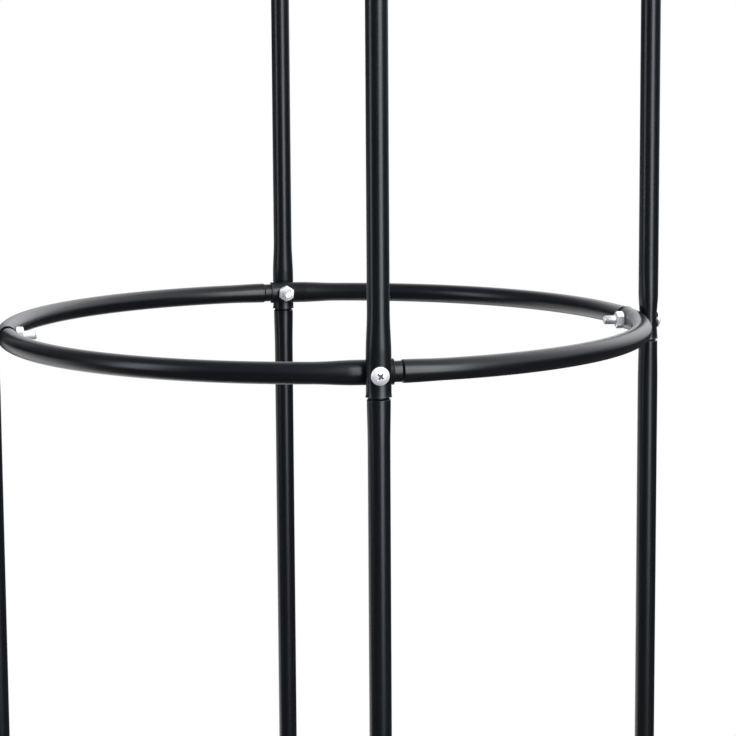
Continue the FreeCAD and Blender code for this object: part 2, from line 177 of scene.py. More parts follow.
@dataclass
class Surface:
    """Points and faces of one or more closed shells.

    Attributes:
        points: One row of three for each point.
        faces: Quads as rows of four indices; a triangle repeats its last index.
        edge: Mark at each point for the finish: on tubes 1 at a cut edge, where the coat wears; on screws
            and nuts a share of painted shade, 1 deep in a recess and less along threads and over nuts; and
            0 on plain wall.
    """

    points: Array
    faces: Array
    edge: Array

    @staticmethod
    def from_grid(grid: Array, loop: bool, edge: Union[Array, float] = 0.0) -> "Surface":
        """Skin over a grid of rows of points that each go once around.

        The faces join each point to the next one around and to the same one in the next row. In a loop
        the last row joins the first; otherwise both end rows shrink to one point, which closes them.

        Args:
            grid: Points by row, by step around, by coordinate.
            loop: Whether the rows close on themselves.
            edge: Mark of all, of each row, or of each point.

        Returns:
            The closed surface, with its faces outwards.
        """
        rows, around = grid.shape[:2]
        given = np.asarray(edge, dtype=float)
        marks = np.broadcast_to(given[:, None] if given.ndim == 1 else given, (rows, around))
        index = np.arange(rows * around).reshape(rows, around)
        if loop:
            low, high = index, np.roll(index, -1, axis=0)
            points, shares = grid.reshape(-1, 3), marks.ravel()
        else:
            points = np.concatenate([grid.reshape(-1, 3), grid[:1].mean(axis=1), grid[-1:].mean(axis=1)])
            shares = np.concatenate([marks.ravel(), marks[0, :1], marks[-1, :1]])
            low, high = index[:-1], index[1:]
        quads = np.stack([low, np.roll(low, -1, axis=1), np.roll(high, -1, axis=1), high], axis=-1)
        quads = quads.reshape(-1, 4)
        if not loop:
            start, end = index[0], index[-1]
            first = np.full(around, rows * around)
            last = first + 1
            caps = [
                np.stack([np.roll(start, -1), start, first, first], axis=-1),
                np.stack([end, np.roll(end, -1), last, last], axis=-1),
            ]
            quads = np.concatenate([quads] + caps)
        surface = Surface(points, quads, shares)
        return surface if surface.volume() > 0.0 else surface.inside_out()

    def volume(self) -> float:
        """Signed volume: a sixth of the sum of each triangle's corner-corner-corner product."""
        a, b, c, d = (self.points[self.faces[:, i]] for i in range(4))
        first = np.einsum("ij,ij->i", a, np.cross(b, c))
        second = np.einsum("ij,ij->i", a, np.cross(c, d))
        return float((first + second).sum() / 6.0)

    def inside_out(self) -> "Surface":
        """The same surface with its faces the other way round."""
        turned = self.faces[:, ::-1].copy()
        triangles = turned[:, 0] == turned[:, 1]
        turned[triangles] = np.roll(turned[triangles], -1, axis=1)
        return Surface(self.points, turned, self.edge)

    def placed(self, origin: Array, across: Array, up: Array, out: Array) -> "Surface":
        """The surface carried from its own axes to an origin and three directions."""
        matrix = np.stack([across, up, out])
        return Surface(self.points @ matrix + origin, self.faces, self.edge)

    def turned(self, angle: float) -> "Surface":
        """The surface turned about the vertical centre line."""
        return Surface(turned_about_z(self.points, angle), self.faces, self.edge)

    @staticmethod
    def together(parts: Iterable["Surface"]) -> "Surface":
        """All shells of several surfaces in one."""
        listed = list(parts)
        offsets = np.cumsum([0] + [len(part.points) for part in listed[:-1]])
        return Surface(
            np.concatenate([part.points for part in listed]),
            np.concatenate([part.faces + offset for part, offset in zip(listed, offsets)]),
            np.concatenate([part.edge for part in listed]),
        )

    def to_object(self, name: str) -> bpy.types.Object:
        """Blender object with this surface as its mesh, smooth except across sharp edges.

        Args:
            name: Name of the object and of its mesh.

        Returns:
            The object, linked to the scene and standing at the origin.
        """
        three = self.faces[:, 2] == self.faces[:, 3]
        quads, triangles = self.faces[~three], self.faces[three][:, :3]
        corners = np.concatenate([quads.ravel(), triangles.ravel()])
        totals = np.concatenate([np.full(len(quads), 4), np.full(len(triangles), 3)])
        starts = np.concatenate([[0], np.cumsum(totals)[:-1]])
        mesh = bpy.data.meshes.new(name)
        mesh.vertices.add(len(self.points))
        mesh.vertices.foreach_set("co", self.points.astype(np.float32).ravel())
        mesh.loops.add(len(corners))
        mesh.loops.foreach_set("vertex_index", corners.astype(np.int32))
        mesh.polygons.add(len(totals))
        mesh.polygons.foreach_set("loop_start", starts.astype(np.int32))
        mesh.polygons.foreach_set("loop_total", totals.astype(np.int32))
        mesh.polygons.foreach_set("use_smooth", np.ones(len(totals), dtype=bool))
        mesh.update(calc_edges=True)
        # The mark is worn coat on tubes and painted shade on screws and nuts.
        mark = mesh.attributes.new("mark", "FLOAT", "POINT")
        mark.data.foreach_set("value", self.edge.astype(np.float32))
        mesh.set_sharp_from_angle(angle=SHARP_ANGLE)
        return add_object(name, mesh)


# Paths -----------------------------------------------------------------------------------------------


@dataclass(frozen=True)
class Frames:
    """Centre, long way and short way of a tube's section at each place on its path."""

    centre: Array
    long_way: Array
    short_way: Array


@dataclass(frozen=True)
class UprightPath:
    """Straight vertical axis on one side; a place on it is a height.

    Attributes:
        side: Side that the upright stands on.
        radius: Distance from the centre line.
    """

    side: Side
    radius: float

    def frames(self, places: Array) -> Frames:
        """Sections at the given heights: the long way is level along the ring, the short way outwards."""
        out, along = outward(self.side.angle), sideways(self.side.angle)
        ones = np.ones((len(places), 1))
        return Frames(out * self.radius + places[:, None] * UP, ones * along, ones * out)


@dataclass(frozen=True)
class RingPath:
    """Level circle; a place on it is the length of arc from the first joint.

    Attributes:
        start: Direction of the first joint.
        radius: Radius of the centre line.
        height: Height of the ring.
    """

    start: float
    radius: float
    height: float

    def frames(self, places: Array) -> Frames:
        """Sections at the given lengths: the long way is upright, the short way outwards."""
        angle = self.start + places / self.radius
        out = about_axis(np.ones_like(angle), angle, 0.0)
        up = np.ones((len(places), 1)) * UP
        return Frames(out * self.radius + up * self.height, up, out)


@dataclass(frozen=True)
class RibPath:
    """Upright line, then an arc inwards, then a straight end; a place is a length from the spring.

    Attributes:
        side: Side that the rib stands on.
        radius: Distance of the upright line from the centre line.
        spring: Height at which the bend starts.
        bend: Radius of the bend.
        turn: Angle of the bend.
    """

    side: Side
    radius: float
    spring: float
    bend: float
    turn: float

    def frames(self, places: Array) -> Frames:
        """Sections at the given lengths; the short way is square to the rib in its upright plane.

        Below the spring the axis is a line. In the bend the angle is the length over the bend's radius,
        and past the bend the axis goes on along the last direction.
        """
        angle = np.clip(places / self.bend, 0.0, self.turn)
        before = np.minimum(places, 0.0)
        after = np.maximum(places - self.bend * self.turn, 0.0)
        level = self.radius - self.bend * (1.0 - np.cos(angle)) - after * math.sin(self.turn)
        height = self.spring + before + self.bend * np.sin(angle) + after * math.cos(self.turn)
        zero = np.zeros_like(level)
        centre = np.stack([level, zero, height], axis=-1)
        out = np.stack([np.cos(angle), zero, np.sin(angle)], axis=-1)
        along = np.stack([zero, zero + 1.0, zero], axis=-1)
        turn = self.side.angle
        return Frames(*(turned_about_z(part, turn) for part in (centre, along, out)))


@dataclass(frozen=True)
class LinePath:
    """Straight axis between two points, with round sections."""

    start: Array
    direction: Array
    across: Array

    def frames(self, places: Array) -> Frames:
        """Sections at the given distances from the start."""
        ones = np.ones((len(places), 1))
        other = np.cross(self.direction, self.across)
        centre = self.start + places[:, None] * self.direction
        return Frames(centre, ones * self.across, ones * other)


Path = Union[UprightPath, RingPath, RibPath, LinePath]


# Tube ------------------------------------------------------------------------------------------------


@dataclass(frozen=True)
class TubeSizes:
    """Tube, and the necks and sockets that are formed on its ends."""

    radius: float = 8.5 * MM
    wall: float = 1.0 * MM
    neck_radius: float = 7.2 * MM
    press: float = 1.1 * MM
    neck_press: float = 0.9 * MM
    shoulder_press: float = 0.5 * MM
    neck_reach: float = 20.0 * MM
    shoulder: float = 1.5 * MM
    flat_reach: float = 14.0 * MM
    fade: float = 34.0 * MM
    dent_half: float = 6.5 * MM
    dent_run: float = 14.0 * MM
    dent_share: float = 0.88
    dent_ease: float = 0.3
    lip_flare: float = 0.5 * MM
    lip_flare_length: float = 1.2 * MM
    edge_radius: float = 0.28 * MM
    edge_rows: int = 5
    worn_reach: float = 0.5 * MM
    around: int = 64


@dataclass(frozen=True)
class RowPitches:
    """Where a tube's ends need their sections: places along each end, and the distances between them.

    The last one is a share of the body's own pitch.
    """

    plain_end: float = 2.0 * MM
    lip_start: float = 0.6 * MM
    lip_end: float = 4.0 * MM
    lip: float = 0.5 * MM
    socket: float = 1.2 * MM
    fade: float = 1.5 * MM
    past_fade: float = 1.0 * MM
    neck_start: float = 1.0 * MM
    neck: float = 2.5 * MM
    shoulder: float = 0.2 * MM
    round_shoulder: float = 0.6 * MM
    first_of_body: float = 0.02


@dataclass(frozen=True)
class JointSizes:
    """How far a joint's socket and its bare neck reach beyond the screw."""

    socket_reach: float
    neck_showing: float


ROWS = RowPitches()
UPRIGHT_JOINT = JointSizes(16.5 * MM, 0.8 * MM)
RING_JOINT = JointSizes(13.6 * MM, 5.9 * MM)


class EndKind(Enum):
    """How a tube ends."""

    SOCKET = "socket"
    NECK = "neck"
    PLAIN = "plain"


@dataclass(frozen=True)
class TubeEnd:
    """One end of a tube.

    Attributes:
        kind: Socket, neck or plain cut.
        screw: Place of the joint's screw, or of the cut on a plain end.
        joint: Reaches of the joint.
    """

    kind: EndKind
    screw: float
    joint: JointSizes = UPRIGHT_JOINT

    def tip(self, sizes: TubeSizes, way: float) -> float:
        """Place of the end's cut edge; way is +1 where the tube goes on towards larger places."""
        reach = {
            EndKind.SOCKET: self.joint.socket_reach,
            EndKind.NECK: sizes.neck_reach,
            EndKind.PLAIN: 0.0,
        }[self.kind]
        return self.screw - way * reach

    def detail(self, sizes: TubeSizes) -> Array:
        """Distances from the cut edge at which the formed end needs its sections."""
        edge = sizes.edge_radius
        if self.kind is EndKind.PLAIN:
            return np.array([edge, ROWS.plain_end])
        if self.kind is EndKind.SOCKET:
            full = self.joint.socket_reach + sizes.flat_reach
            return np.concatenate([
                [edge],
                steps(ROWS.lip_start, ROWS.lip_end, ROWS.lip),
                steps(ROWS.lip_end, full, ROWS.socket),
                steps(full, full + sizes.fade + ROWS.past_fade, ROWS.fade),
            ])
        foot = sizes.neck_reach + self.joint.socket_reach + self.joint.neck_showing
        low, top = foot - ROWS.round_shoulder, foot + sizes.shoulder
        high = top + ROWS.round_shoulder
        return np.concatenate([
            [edge],
            steps(ROWS.neck_start, low, ROWS.neck),
            steps(low, high, ROWS.shoulder),
            steps(high, top + sizes.fade + ROWS.past_fade, ROWS.fade),
        ])

    def shape(self, sizes: TubeSizes, inward: Array) -> tuple[Array, Array]:
        """Added half lengths, the long way and the short way, over the plain round radius.

        A socket is widened by the press up to flat_reach past the screw, and that fades by a smooth step.
        Its flat sides are dented by the whole press beside the screw, and both ways along the tube the
        dent rises on a slope, eased by a smooth step, until only a small share is left. The lip flares by
        an exponential. A neck is narrower, then rises over the shoulder by a smooth step.

        Args:
            sizes: Tube sizes.
            inward: Distances from the screw towards the tube's body.

        Returns:
            What to add to the radius the long way and the short way.
        """
        if self.kind is EndKind.PLAIN:
            return np.zeros_like(inward), np.zeros_like(inward)
        if self.kind is EndKind.SOCKET:
            press = sizes.press * (1.0 - smooth((inward - sizes.flat_reach) / sizes.fade))
            run = np.clip((np.abs(inward) - sizes.dent_half) / sizes.dent_run, 0.0, 1.0)
            out_of_dent = sizes.dent_ease * smooth(run) + (1.0 - sizes.dent_ease) * run
            lip = inward + self.joint.socket_reach
            flare = sizes.lip_flare * np.exp(-np.maximum(lip, 0.0) / sizes.lip_flare_length)
            return press + flare, 0.5 * flare - press * (1.0 - sizes.dent_share * out_of_dent)
        foot = self.joint.socket_reach + self.joint.neck_showing
        rise = smooth((inward - foot) / sizes.shoulder)
        body_press = sizes.shoulder_press * (1.0 - smooth((inward - foot - sizes.shoulder) / sizes.fade))
        press = sizes.neck_press * (1.0 - rise) + body_press * rise
        drop = (sizes.neck_radius - sizes.radius) * (1.0 - rise)
        return drop + press, drop - press


@dataclass(frozen=True)
class Tube:
    """Hollow tube along a path, from one formed end to the other."""

    path: Path
    start: TubeEnd
    end: TubeEnd
    pitch: float = 60.0 * MM
    sizes: TubeSizes = field(default_factory=TubeSizes)
    radius: float = 8.5 * MM

    def surface(self) -> Surface:
        """Closed wall of the tube.

        The outer skin runs from the first cut edge to the last, goes round the last edge, and the inner
        skin runs back at the wall's depth, round the first edge. Each section is an oval: centre, plus
        the long half length times the cosine, plus the short half length times the sine.
        """
        sizes = self.sizes
        first, last = self.start.tip(sizes, 1.0), self.end.tip(sizes, -1.0)
        near = first + self.start.detail(sizes)
        far = (last - self.end.detail(sizes))[::-1]
        body = steps(near[-1] + self.pitch * ROWS.first_of_body, far[0], self.pitch)
        skin = np.concatenate([near, body, far])
        corner, wall = sizes.edge_radius, sizes.wall
        bend = np.linspace(0.0, math.pi / 2.0, sizes.edge_rows)[1:]
        out_place, out_depth = corner * np.sin(bend), corner * (1.0 - np.cos(bend))
        round_place = np.concatenate([out_place, out_place[::-1]])
        round_depth = np.concatenate([out_depth, wall - out_depth[::-1]])
        places = np.concatenate([
            skin, last - corner + round_place, skin[::-1], first + corner - round_place])
        depths = np.concatenate([
            np.zeros_like(skin), round_depth, np.full_like(skin, wall), wall - round_depth])
        from_start = places - self.start.screw
        from_end = self.end.screw - places
        long_a, short_a = self.start.shape(sizes, from_start)
        long_b, short_b = self.end.shape(sizes, from_end)
        half_long = self.radius + long_a + long_b - depths
        half_short = self.radius + short_a + short_b - depths
        frames = self.path.frames(places)
        turn = full_turn(sizes.around)
        grid = (
            frames.centre[:, None, :]
            + frames.long_way[:, None, :] * (half_long[:, None] * np.cos(turn))[:, :, None]
            + frames.short_way[:, None, :] * (half_short[:, None] * np.sin(turn))[:, :, None]
        )
        from_edge = np.minimum(np.abs(places - first), np.abs(places - last))
        return Surface.from_grid(grid, True, np.exp(-from_edge / sizes.worn_reach))


# Turned and threaded pieces --------------------------------------------------------------------------


Profile = Sequence[tuple[float, float]]
SIDE_SHARE = 0.45  # most of a side that one rounded corner may take


def rounded(profile: Profile, corner: float, count: int = 4) -> Array:
    """Profile with each inner corner replaced by a short arc-like run.

    At each corner the run blends from the side before to the side after, by the square of a share, which
    is a parabola that touches both sides.

    Args:
        profile: Radius and height of each corner.
        corner: Length of side that each arc takes; a short side gives up only SIDE_SHARE of itself.
        count: Points in each arc.

    Returns:
        Radius and height of each point.
    """
    given = np.array(profile, dtype=float)
    before, here, after = given[:-2], given[1:-1], given[2:]
    to_before, to_after = before - here, after - here
    length_before = np.linalg.norm(to_before, axis=1, keepdims=True)
    length_after = np.linalg.norm(to_after, axis=1, keepdims=True)
    take = np.minimum(corner, np.minimum(length_before, length_after) * SIDE_SHARE)
    start = here + to_before / length_before * take
    end = here + to_after / length_after * take
    share = np.linspace(0.0, 1.0, count)[None, :, None]
    arcs = (1.0 - share) ** 2 * start[:, None] + 2.0 * share * (1.0 - share) * here[:, None]
    arcs = (arcs + share**2 * end[:, None]).reshape(-1, 2)
    return np.concatenate([given[:1], arcs, given[-1:]])


def turned_body(profile: Array, around: int, loop: bool) -> Surface:
    """Body of revolution: each profile point carried round the axis at its radius and height."""
    radius, height = profile[:, 0][:, None], profile[:, 1][:, None]
    return Surface.from_grid(about_axis(radius, full_turn(around), height), loop)


@dataclass(frozen=True)
class Thread:
    """Metric thread: the radius falls by a clipped triangle wave of height less turns.

    Rows is how many rows of points a pitch of thread gets.
    """

    pitch: float = 1.25 * MM
    depth: float = 0.7 * MM
    slope: float = 1.25
    crest: float = 0.12
    rows: float = 8.0

    def fall(self, height: Array, turn: Array) -> Array:
        """Depth below the thread's crest at each height and angle."""
        wave = np.abs(2.0 * np.mod(height / self.pitch - turn / TAU, 1.0) - 1.0)
        return self.depth * np.clip(self.slope * wave - self.crest, 0.0, 1.0)


@dataclass(frozen=True)
class ScrewSizes:
    """Domed screw with a cross recess. The seat is at height 0 and the shank points down."""

    head_radius: float = 7.0 * MM
    head_height: float = 3.3 * MM
    rim_share: float = 0.22
    shank_radius: float = 4.0 * MM
    length: float = 46.82 * MM
    threaded: float = 19.0 * MM
    recess_span: float = 3.5 * MM
    recess_half_width: float = 0.85 * MM
    recess_depth: float = 1.9 * MM
    recess_edge: float = 0.28 * MM
    bar_tip: float = 0.55
    bar_floor: float = 0.45
    tip_slope: float = 3.2
    floor_slope: float = 1.3
    pole: float = 0.02 * MM
    fine_share: float = 1.12
    fine_rows: int = 30
    dome_rows: int = 12
    dome_share: float = 0.965
    rim_rows: int = 6
    rim_end: float = 0.5
    lead_share: float = 0.3
    shank_start: float = 0.2 * MM
    under_edge: float = 0.15 * MM
    tip_offset: float = 0.2
    # Shares of painted shade in the mark: even along the threaded length, and more in the cut thread
    # roots.
    threaded_length_shade: float = 0.20
    thread_root_shade: float = 0.3
    around: int = 96
    thread: Thread = field(default_factory=Thread)

    def recess(self, x: Array, y: Array) -> Array:
        """Share of the cross recess's depth: the deeper of two tapered bars.

        Each bar is a product of smooth steps, one across it and two along its taper.
        """

        def bar(along: Array, across: Array) -> Array:
            """Share of the depth in one bar."""
            taper = np.clip(1.0 - np.abs(along) / self.recess_span, 0.0, 1.0)
            half = self.recess_half_width * (self.bar_tip + (1.0 - self.bar_tip) * taper)
            side = smooth((half - np.abs(across)) / self.recess_edge + 0.5)
            floor = self.bar_floor + (1.0 - self.bar_floor) * smooth(taper * self.floor_slope)
            return side * smooth(taper * self.tip_slope) * floor

        return np.maximum(bar(x, y), bar(y, x))

    def head_rows(self) -> tuple[Array, Array]:
        """Radius and height of the head's rows: a cap of a sphere down to its rounded rim."""
        radius, height = self.head_radius, self.head_height
        rim = height * self.rim_share
        rise = height - rim
        ball = (radius * radius + rise * rise) / (2.0 * rise)
        fine, last = self.recess_span * self.fine_share, radius * self.dome_share
        dome_r = np.concatenate([
            np.linspace(self.pole, fine, self.fine_rows), np.linspace(fine, last, self.dome_rows)[1:]])
        dome_z = height - ball + np.sqrt(ball * ball - dome_r**2)
        bottom_z = height - ball + math.sqrt(ball * ball - last**2)
        bend = np.linspace(0.0, 1.0, self.rim_rows)[1:] * math.pi / 2.0
        rim_r = radius * (self.dome_share + (1.0 - self.dome_share) * np.sin(bend))
        rim_z = bottom_z - (bottom_z - rim * self.rim_end) * (1.0 - np.cos(bend))
        return np.concatenate([dome_r, rim_r]), np.concatenate([dome_z, rim_z])

    def surface(self, spin: float) -> Surface:
        """Closed screw from the crown of its head to its tip.

        The head's crown sinks by the recess's depth. The threaded length is one smooth taper: only the
        rows of its lead at the tip fall by the thread's formula.

        Args:
            spin: Angle of the recess about the screw's axis.

        Returns:
            The screw, with its axis along the third coordinate.
        """
        head_r, head_z = self.head_rows()
        radius, shank, edge = self.head_radius, self.shank_radius, self.under_edge
        tip, lead = -self.length, shank * self.lead_share
        under_r = np.array([radius, radius - edge, shank + 2.0 * edge, shank])
        under_z = np.array([edge, 0.0, 0.0, -edge * 0.5])
        shank_z = np.array([-self.shank_start, tip + self.threaded, tip + lead, tip + lead * 0.5, tip])
        shank_r = np.array([shank, shank, shank, shank - lead * 0.5, shank - lead])
        rows_r = np.concatenate([head_r, under_r, shank_r])[:, None]
        rows_z = np.concatenate([head_z, under_z, shank_z])[:, None]
        turn = full_turn(self.around)[None, :]
        x, y = rows_r * np.cos(turn), rows_r * np.sin(turn)
        crown = np.zeros(rows_r.shape)
        crown[: self.fine_rows + self.dome_rows - 1] = 1.0
        cos, sin = math.cos(spin), math.sin(spin)
        deep = crown * self.recess(x * cos + y * sin, y * cos - x * sin)
        into = smooth((tip + self.threaded - rows_z) / self.thread.pitch)
        cut = into * self.thread.fall(rows_z, turn) * smooth((rows_z - tip) / lead + self.tip_offset)
        # Painted shade of the threads in the mark; the recess share deep in the head is painted shade too.
        thread_shade = self.threaded_length_shade * into + self.thread_root_shade * cut / self.thread.depth
        grid = about_axis(rows_r - cut, turn, rows_z - self.recess_depth * deep)
        return Surface.from_grid(grid, False, np.maximum(deep, thread_shade))


@dataclass(frozen=True)
class NutSizes:
    """Hexagon nut with the corners of both faces turned down."""

    half_flats: float = 6.5 * MM
    height: float = 6.5 * MM
    bore_radius: float = 4.05 * MM
    face_share: float = 0.95
    # Even share of painted shade in the mark over the whole nut.
    painted_nut_shade: float = 0.20
    lead: float = 0.4 * MM
    chamfer_angle: float = math.pi / 6.0
    chamfer_rows: int = 7
    around: int = 96

    def surface(self, spin: float) -> Surface:
        """Closed nut standing on its seat.

        Each row is the smaller of the six-sided outline and a circle. The circle grows from the face's rim
        by the chamfer's slope, so the corners run down in arcs.

        Args:
            spin: Angle of the flats about the nut's axis.

        Returns:
            The nut, with its axis along the third coordinate.
        """
        sixth = math.pi / 3.0
        corner = self.half_flats / math.cos(sixth / 2.0)
        face = self.half_flats * self.face_share
        bore, top, lead = self.bore_radius, self.height, self.lead
        chamfer = (corner - face) * math.tan(self.chamfer_angle)
        rise = np.linspace(0.0, chamfer, self.chamfer_rows)
        grow = np.linspace(face, corner, self.chamfer_rows)
        circle = np.concatenate([[bore, bore + lead], grow, grow[::-1], [bore + lead, bore]])[:, None]
        level = np.concatenate([[lead, 0.0], rise, top - rise[::-1], [top, top - lead]])[:, None]
        turn = full_turn(self.around)[None, :]
        outline = self.half_flats / np.cos(np.mod(turn, sixth) - sixth / 2.0)
        grid = about_axis(np.minimum(outline, circle), turn + spin, level)
        return Surface.from_grid(grid, True, self.painted_nut_shade)


# Shader maths ----------------------------------------------------------------------------------------


Number = Union[float, int]
Colour = tuple[float, float, float]
Stops = Sequence[tuple[float, float]]
Inputs = dict[Union[str, int], object]


def brighter(colour: Colour, gain: float) -> Colour:
    """Colour with each channel times a gain."""
    return tuple(channel * gain for channel in colour)


@dataclass(frozen=True)
class Grain:
    """Smooth noise over a surface.

    Attributes:
        size: Feature size in metres.
        detail: Octaves over the first.
        rough: Weight of each octave over the last.
        stretch: Factor of the feature size along each axis.
    """

    size: float
    detail: float = 2.0
    rough: float = 0.5
    stretch: Colour = (1.0, 1.0, 1.0)


class Value:
    """Number socket of a shader graph; an expression on values adds the Math nodes it needs."""

    def __init__(self, graph: "Graph", socket: bpy.types.NodeSocket) -> None:
        """Wraps a socket of a graph."""
        self.graph = graph
        self.socket = socket

    def _with(self, operation: str, *terms: Union["Value", Number]) -> "Value":
        """Result of a Math node on the given terms."""
        node = self.graph.node("ShaderNodeMath", {"operation": operation}, dict(enumerate(terms)))
        return Value(self.graph, node.outputs[0])

    def __add__(self, other: Union["Value", Number]) -> "Value":
        """Sum."""
        return self._with("ADD", self, other)

    __radd__ = __add__

    def __sub__(self, other: Union["Value", Number]) -> "Value":
        """Difference."""
        return self._with("SUBTRACT", self, other)

    def __rsub__(self, other: Union["Value", Number]) -> "Value":
        """Difference from a number."""
        return self._with("SUBTRACT", other, self)

    def __mul__(self, other: Union["Value", Number]) -> "Value":
        """Product."""
        return self._with("MULTIPLY", self, other)

    __rmul__ = __mul__

    def clipped(self) -> "Value":
        """Kept between 0 and 1."""
        return self._with("MINIMUM", self._with("MAXIMUM", self, 0.0), 1.0)


class Graph:
    """Node tree of a material or a world, with one method that makes every node."""

    def __init__(self, tree: bpy.types.NodeTree) -> None:
        """Clears the tree and takes it over."""
        self.tree = tree
        tree.nodes.clear()

    def node(self, kind: str, settings: dict[str, object] | None = None,
             inputs: Inputs | None = None) -> bpy.types.Node:
        """Adds a node.

        Args:
            kind: Blender's name of the node's type.
            settings: Properties to set first; a ramp's stops are under "stops".
            inputs: Value or link of each socket, by name or index.

        Returns:
            The node.
        """
        made = self.tree.nodes.new(kind)
        for name, setting in (settings or {}).items():
            if name == "stops":
                self._set_stops(made.color_ramp.elements, setting)
            else:
                setattr(made, name, setting)
        for key, given in (inputs or {}).items():
            socket = made.inputs[key]
            if isinstance(given, Value):
                self.tree.links.new(given.socket, socket)
            elif isinstance(given, bpy.types.NodeSocket):
                self.tree.links.new(given, socket)
            else:
                socket.default_value = given
        return made

    @staticmethod
    def _set_stops(elements: bpy.types.ColorRampElements, stops: Stops) -> None:
        """Sets a ramp's stops from pairs of position and grey level."""
        while len(elements) < len(stops):
            elements.new(0.5)
        for element, (position, level) in zip(elements, stops):
            element.position = position
            element.color = (level, level, level, 1.0)

    def place(self) -> bpy.types.NodeSocket:
        """Coordinates of the surface in the object's own space, in metres."""
        return self.node("ShaderNodeTexCoord").outputs["Object"]

    def noise(self, grain: Grain) -> Value:
        """Smooth noise between 0 and 1."""
        scale = tuple(1.0 / (grain.size * factor) for factor in grain.stretch)
        mapped = self.node("ShaderNodeMapping", None, {"Vector": self.place(), "Scale": scale})
        made = self.node("ShaderNodeTexNoise", {"noise_dimensions": "3D"}, {
            "Vector": mapped.outputs[0],
            "Scale": 1.0,
            "Detail": grain.detail,
            "Roughness": grain.rough,
        })
        return Value(self, made.outputs[0])

    def ramp(self, value: Value, stops: Stops) -> Value:
        """Value remapped by a ramp's stops."""
        made = self.node("ShaderNodeValToRGB", {"stops": stops}, {0: value})
        return Value(self, made.outputs[0])

    def dot(self, vector: bpy.types.NodeSocket, direction: Array) -> Value:
        """Share of a vector along a direction."""
        inputs: Inputs = {0: vector, 1: tuple(direction)}
        made = self.node("ShaderNodeVectorMath", {"operation": "DOT_PRODUCT"}, inputs)
        return Value(self, made.outputs["Value"])

    def attribute(self, name: str) -> Value:
        """Number stored on the mesh's points."""
        made = self.node("ShaderNodeAttribute", {"attribute_name": name})
        return Value(self, made.outputs["Fac"])

    def blend(self, share: Value, first: Union[Colour, bpy.types.NodeSocket],
              second: Union[Colour, bpy.types.NodeSocket]) -> bpy.types.NodeSocket:
        """Colour between two others by a share."""

        def full(colour: Union[Colour, bpy.types.NodeSocket]) -> object:
            """A colour with full alpha; a socket as it is."""
            return (*colour, 1.0) if isinstance(colour, tuple) else colour

        inputs: Inputs = {0: share, 6: full(first), 7: full(second)}
        return self.node("ShaderNodeMix", {"data_type": "RGBA"}, inputs).outputs[2]

    def bump(self, height: Value, depth: float,
             normal: bpy.types.NodeSocket | None = None) -> bpy.types.NodeSocket:
        """Normal bent by a height, whose full range is a depth in metres."""
        inputs: Inputs = {"Height": height, "Strength": 1.0, "Distance": depth}
        if normal is not None:
            inputs["Normal"] = normal
        return self.node("ShaderNodeBump", None, inputs).outputs[0]

    def surface(self, inputs: Inputs) -> None:
        """Finishes a material with a Principled surface."""
        shader = self.node("ShaderNodeBsdfPrincipled", None, inputs)
        self.node("ShaderNodeOutputMaterial", None, {"Surface": shader.outputs[0]})


# Finishes --------------------------------------------------------------------------------------------


class Finish(ABC):
    """A finish, which says what goes into the sockets of its Principled surface."""

    name: str

    @abstractmethod
    def sockets(self, graph: Graph) -> Inputs:
        """Value or link of each socket, with the nodes that it needs added to the graph."""

    def material(self) -> bpy.types.Material:
        """New material in this finish."""
        made = bpy.data.materials.new(self.name)
        made.use_nodes = True
        graph = Graph(made.node_tree)
        graph.surface(self.sockets(graph))
        return made


@dataclass(frozen=True)
class PowderCoat(Finish):
    """Satin powder coat on steel: fine orange peel, thin on cut edges, with faint handling marks."""

    name: str = "black_powder_coat"
    colour: Colour = (0.0014, 0.0021, 0.0031)
    worn: Colour = (0.020, 0.022, 0.025)
    cloud_gain: float = 1.5
    roughness: float = 0.30
    cloud_roughness: float = 0.035
    worn_roughness: float = 0.22
    specular: float = 0.45
    peel: Grain = Grain(1.8 * MM, 1.5, 0.45)
    peel_depth: float = 0.0016 * MM
    grain: Grain = Grain(0.40 * MM, 1.0)
    grain_depth: float = 0.0005 * MM
    cloud: Grain = Grain(55.0 * MM, 3.0, 0.55)
    scuff: Grain = Grain(2.6 * MM, 4.0, 0.7, (1.0, 1.0, 5.0))
    scuff_stops: Stops = ((0.66, 0.0), (0.80, 1.0))
    scuff_share: float = 0.06
    scuff_on_edge: float = 0.6
    cloud_on_edge: float = 0.55

    def sockets(self, graph: Graph) -> Inputs:
        """Sockets of this coat: marks are scuffs, stronger at cut edges, and clouds on those edges."""
        peel, grain, cloud = graph.noise(self.peel), graph.noise(self.grain), graph.noise(self.cloud)
        scuff = graph.ramp(graph.noise(self.scuff), self.scuff_stops)
        edge = graph.attribute("mark")
        scuffs = scuff * (self.scuff_share + self.scuff_on_edge * edge)
        marks = (scuffs + self.cloud_on_edge * edge * cloud).clipped()
        clouds = self.cloud_roughness * (cloud - 0.5) * 2.0
        body = graph.blend(cloud, self.colour, brighter(self.colour, self.cloud_gain))
        normal = graph.bump(peel, self.peel_depth)
        return {
            "Base Color": graph.blend(marks, body, self.worn),
            "Roughness": self.roughness + clouds + self.worn_roughness * marks,
            "Specular IOR Level": self.specular,
            "Normal": graph.bump(grain, self.grain_depth, normal),
        }


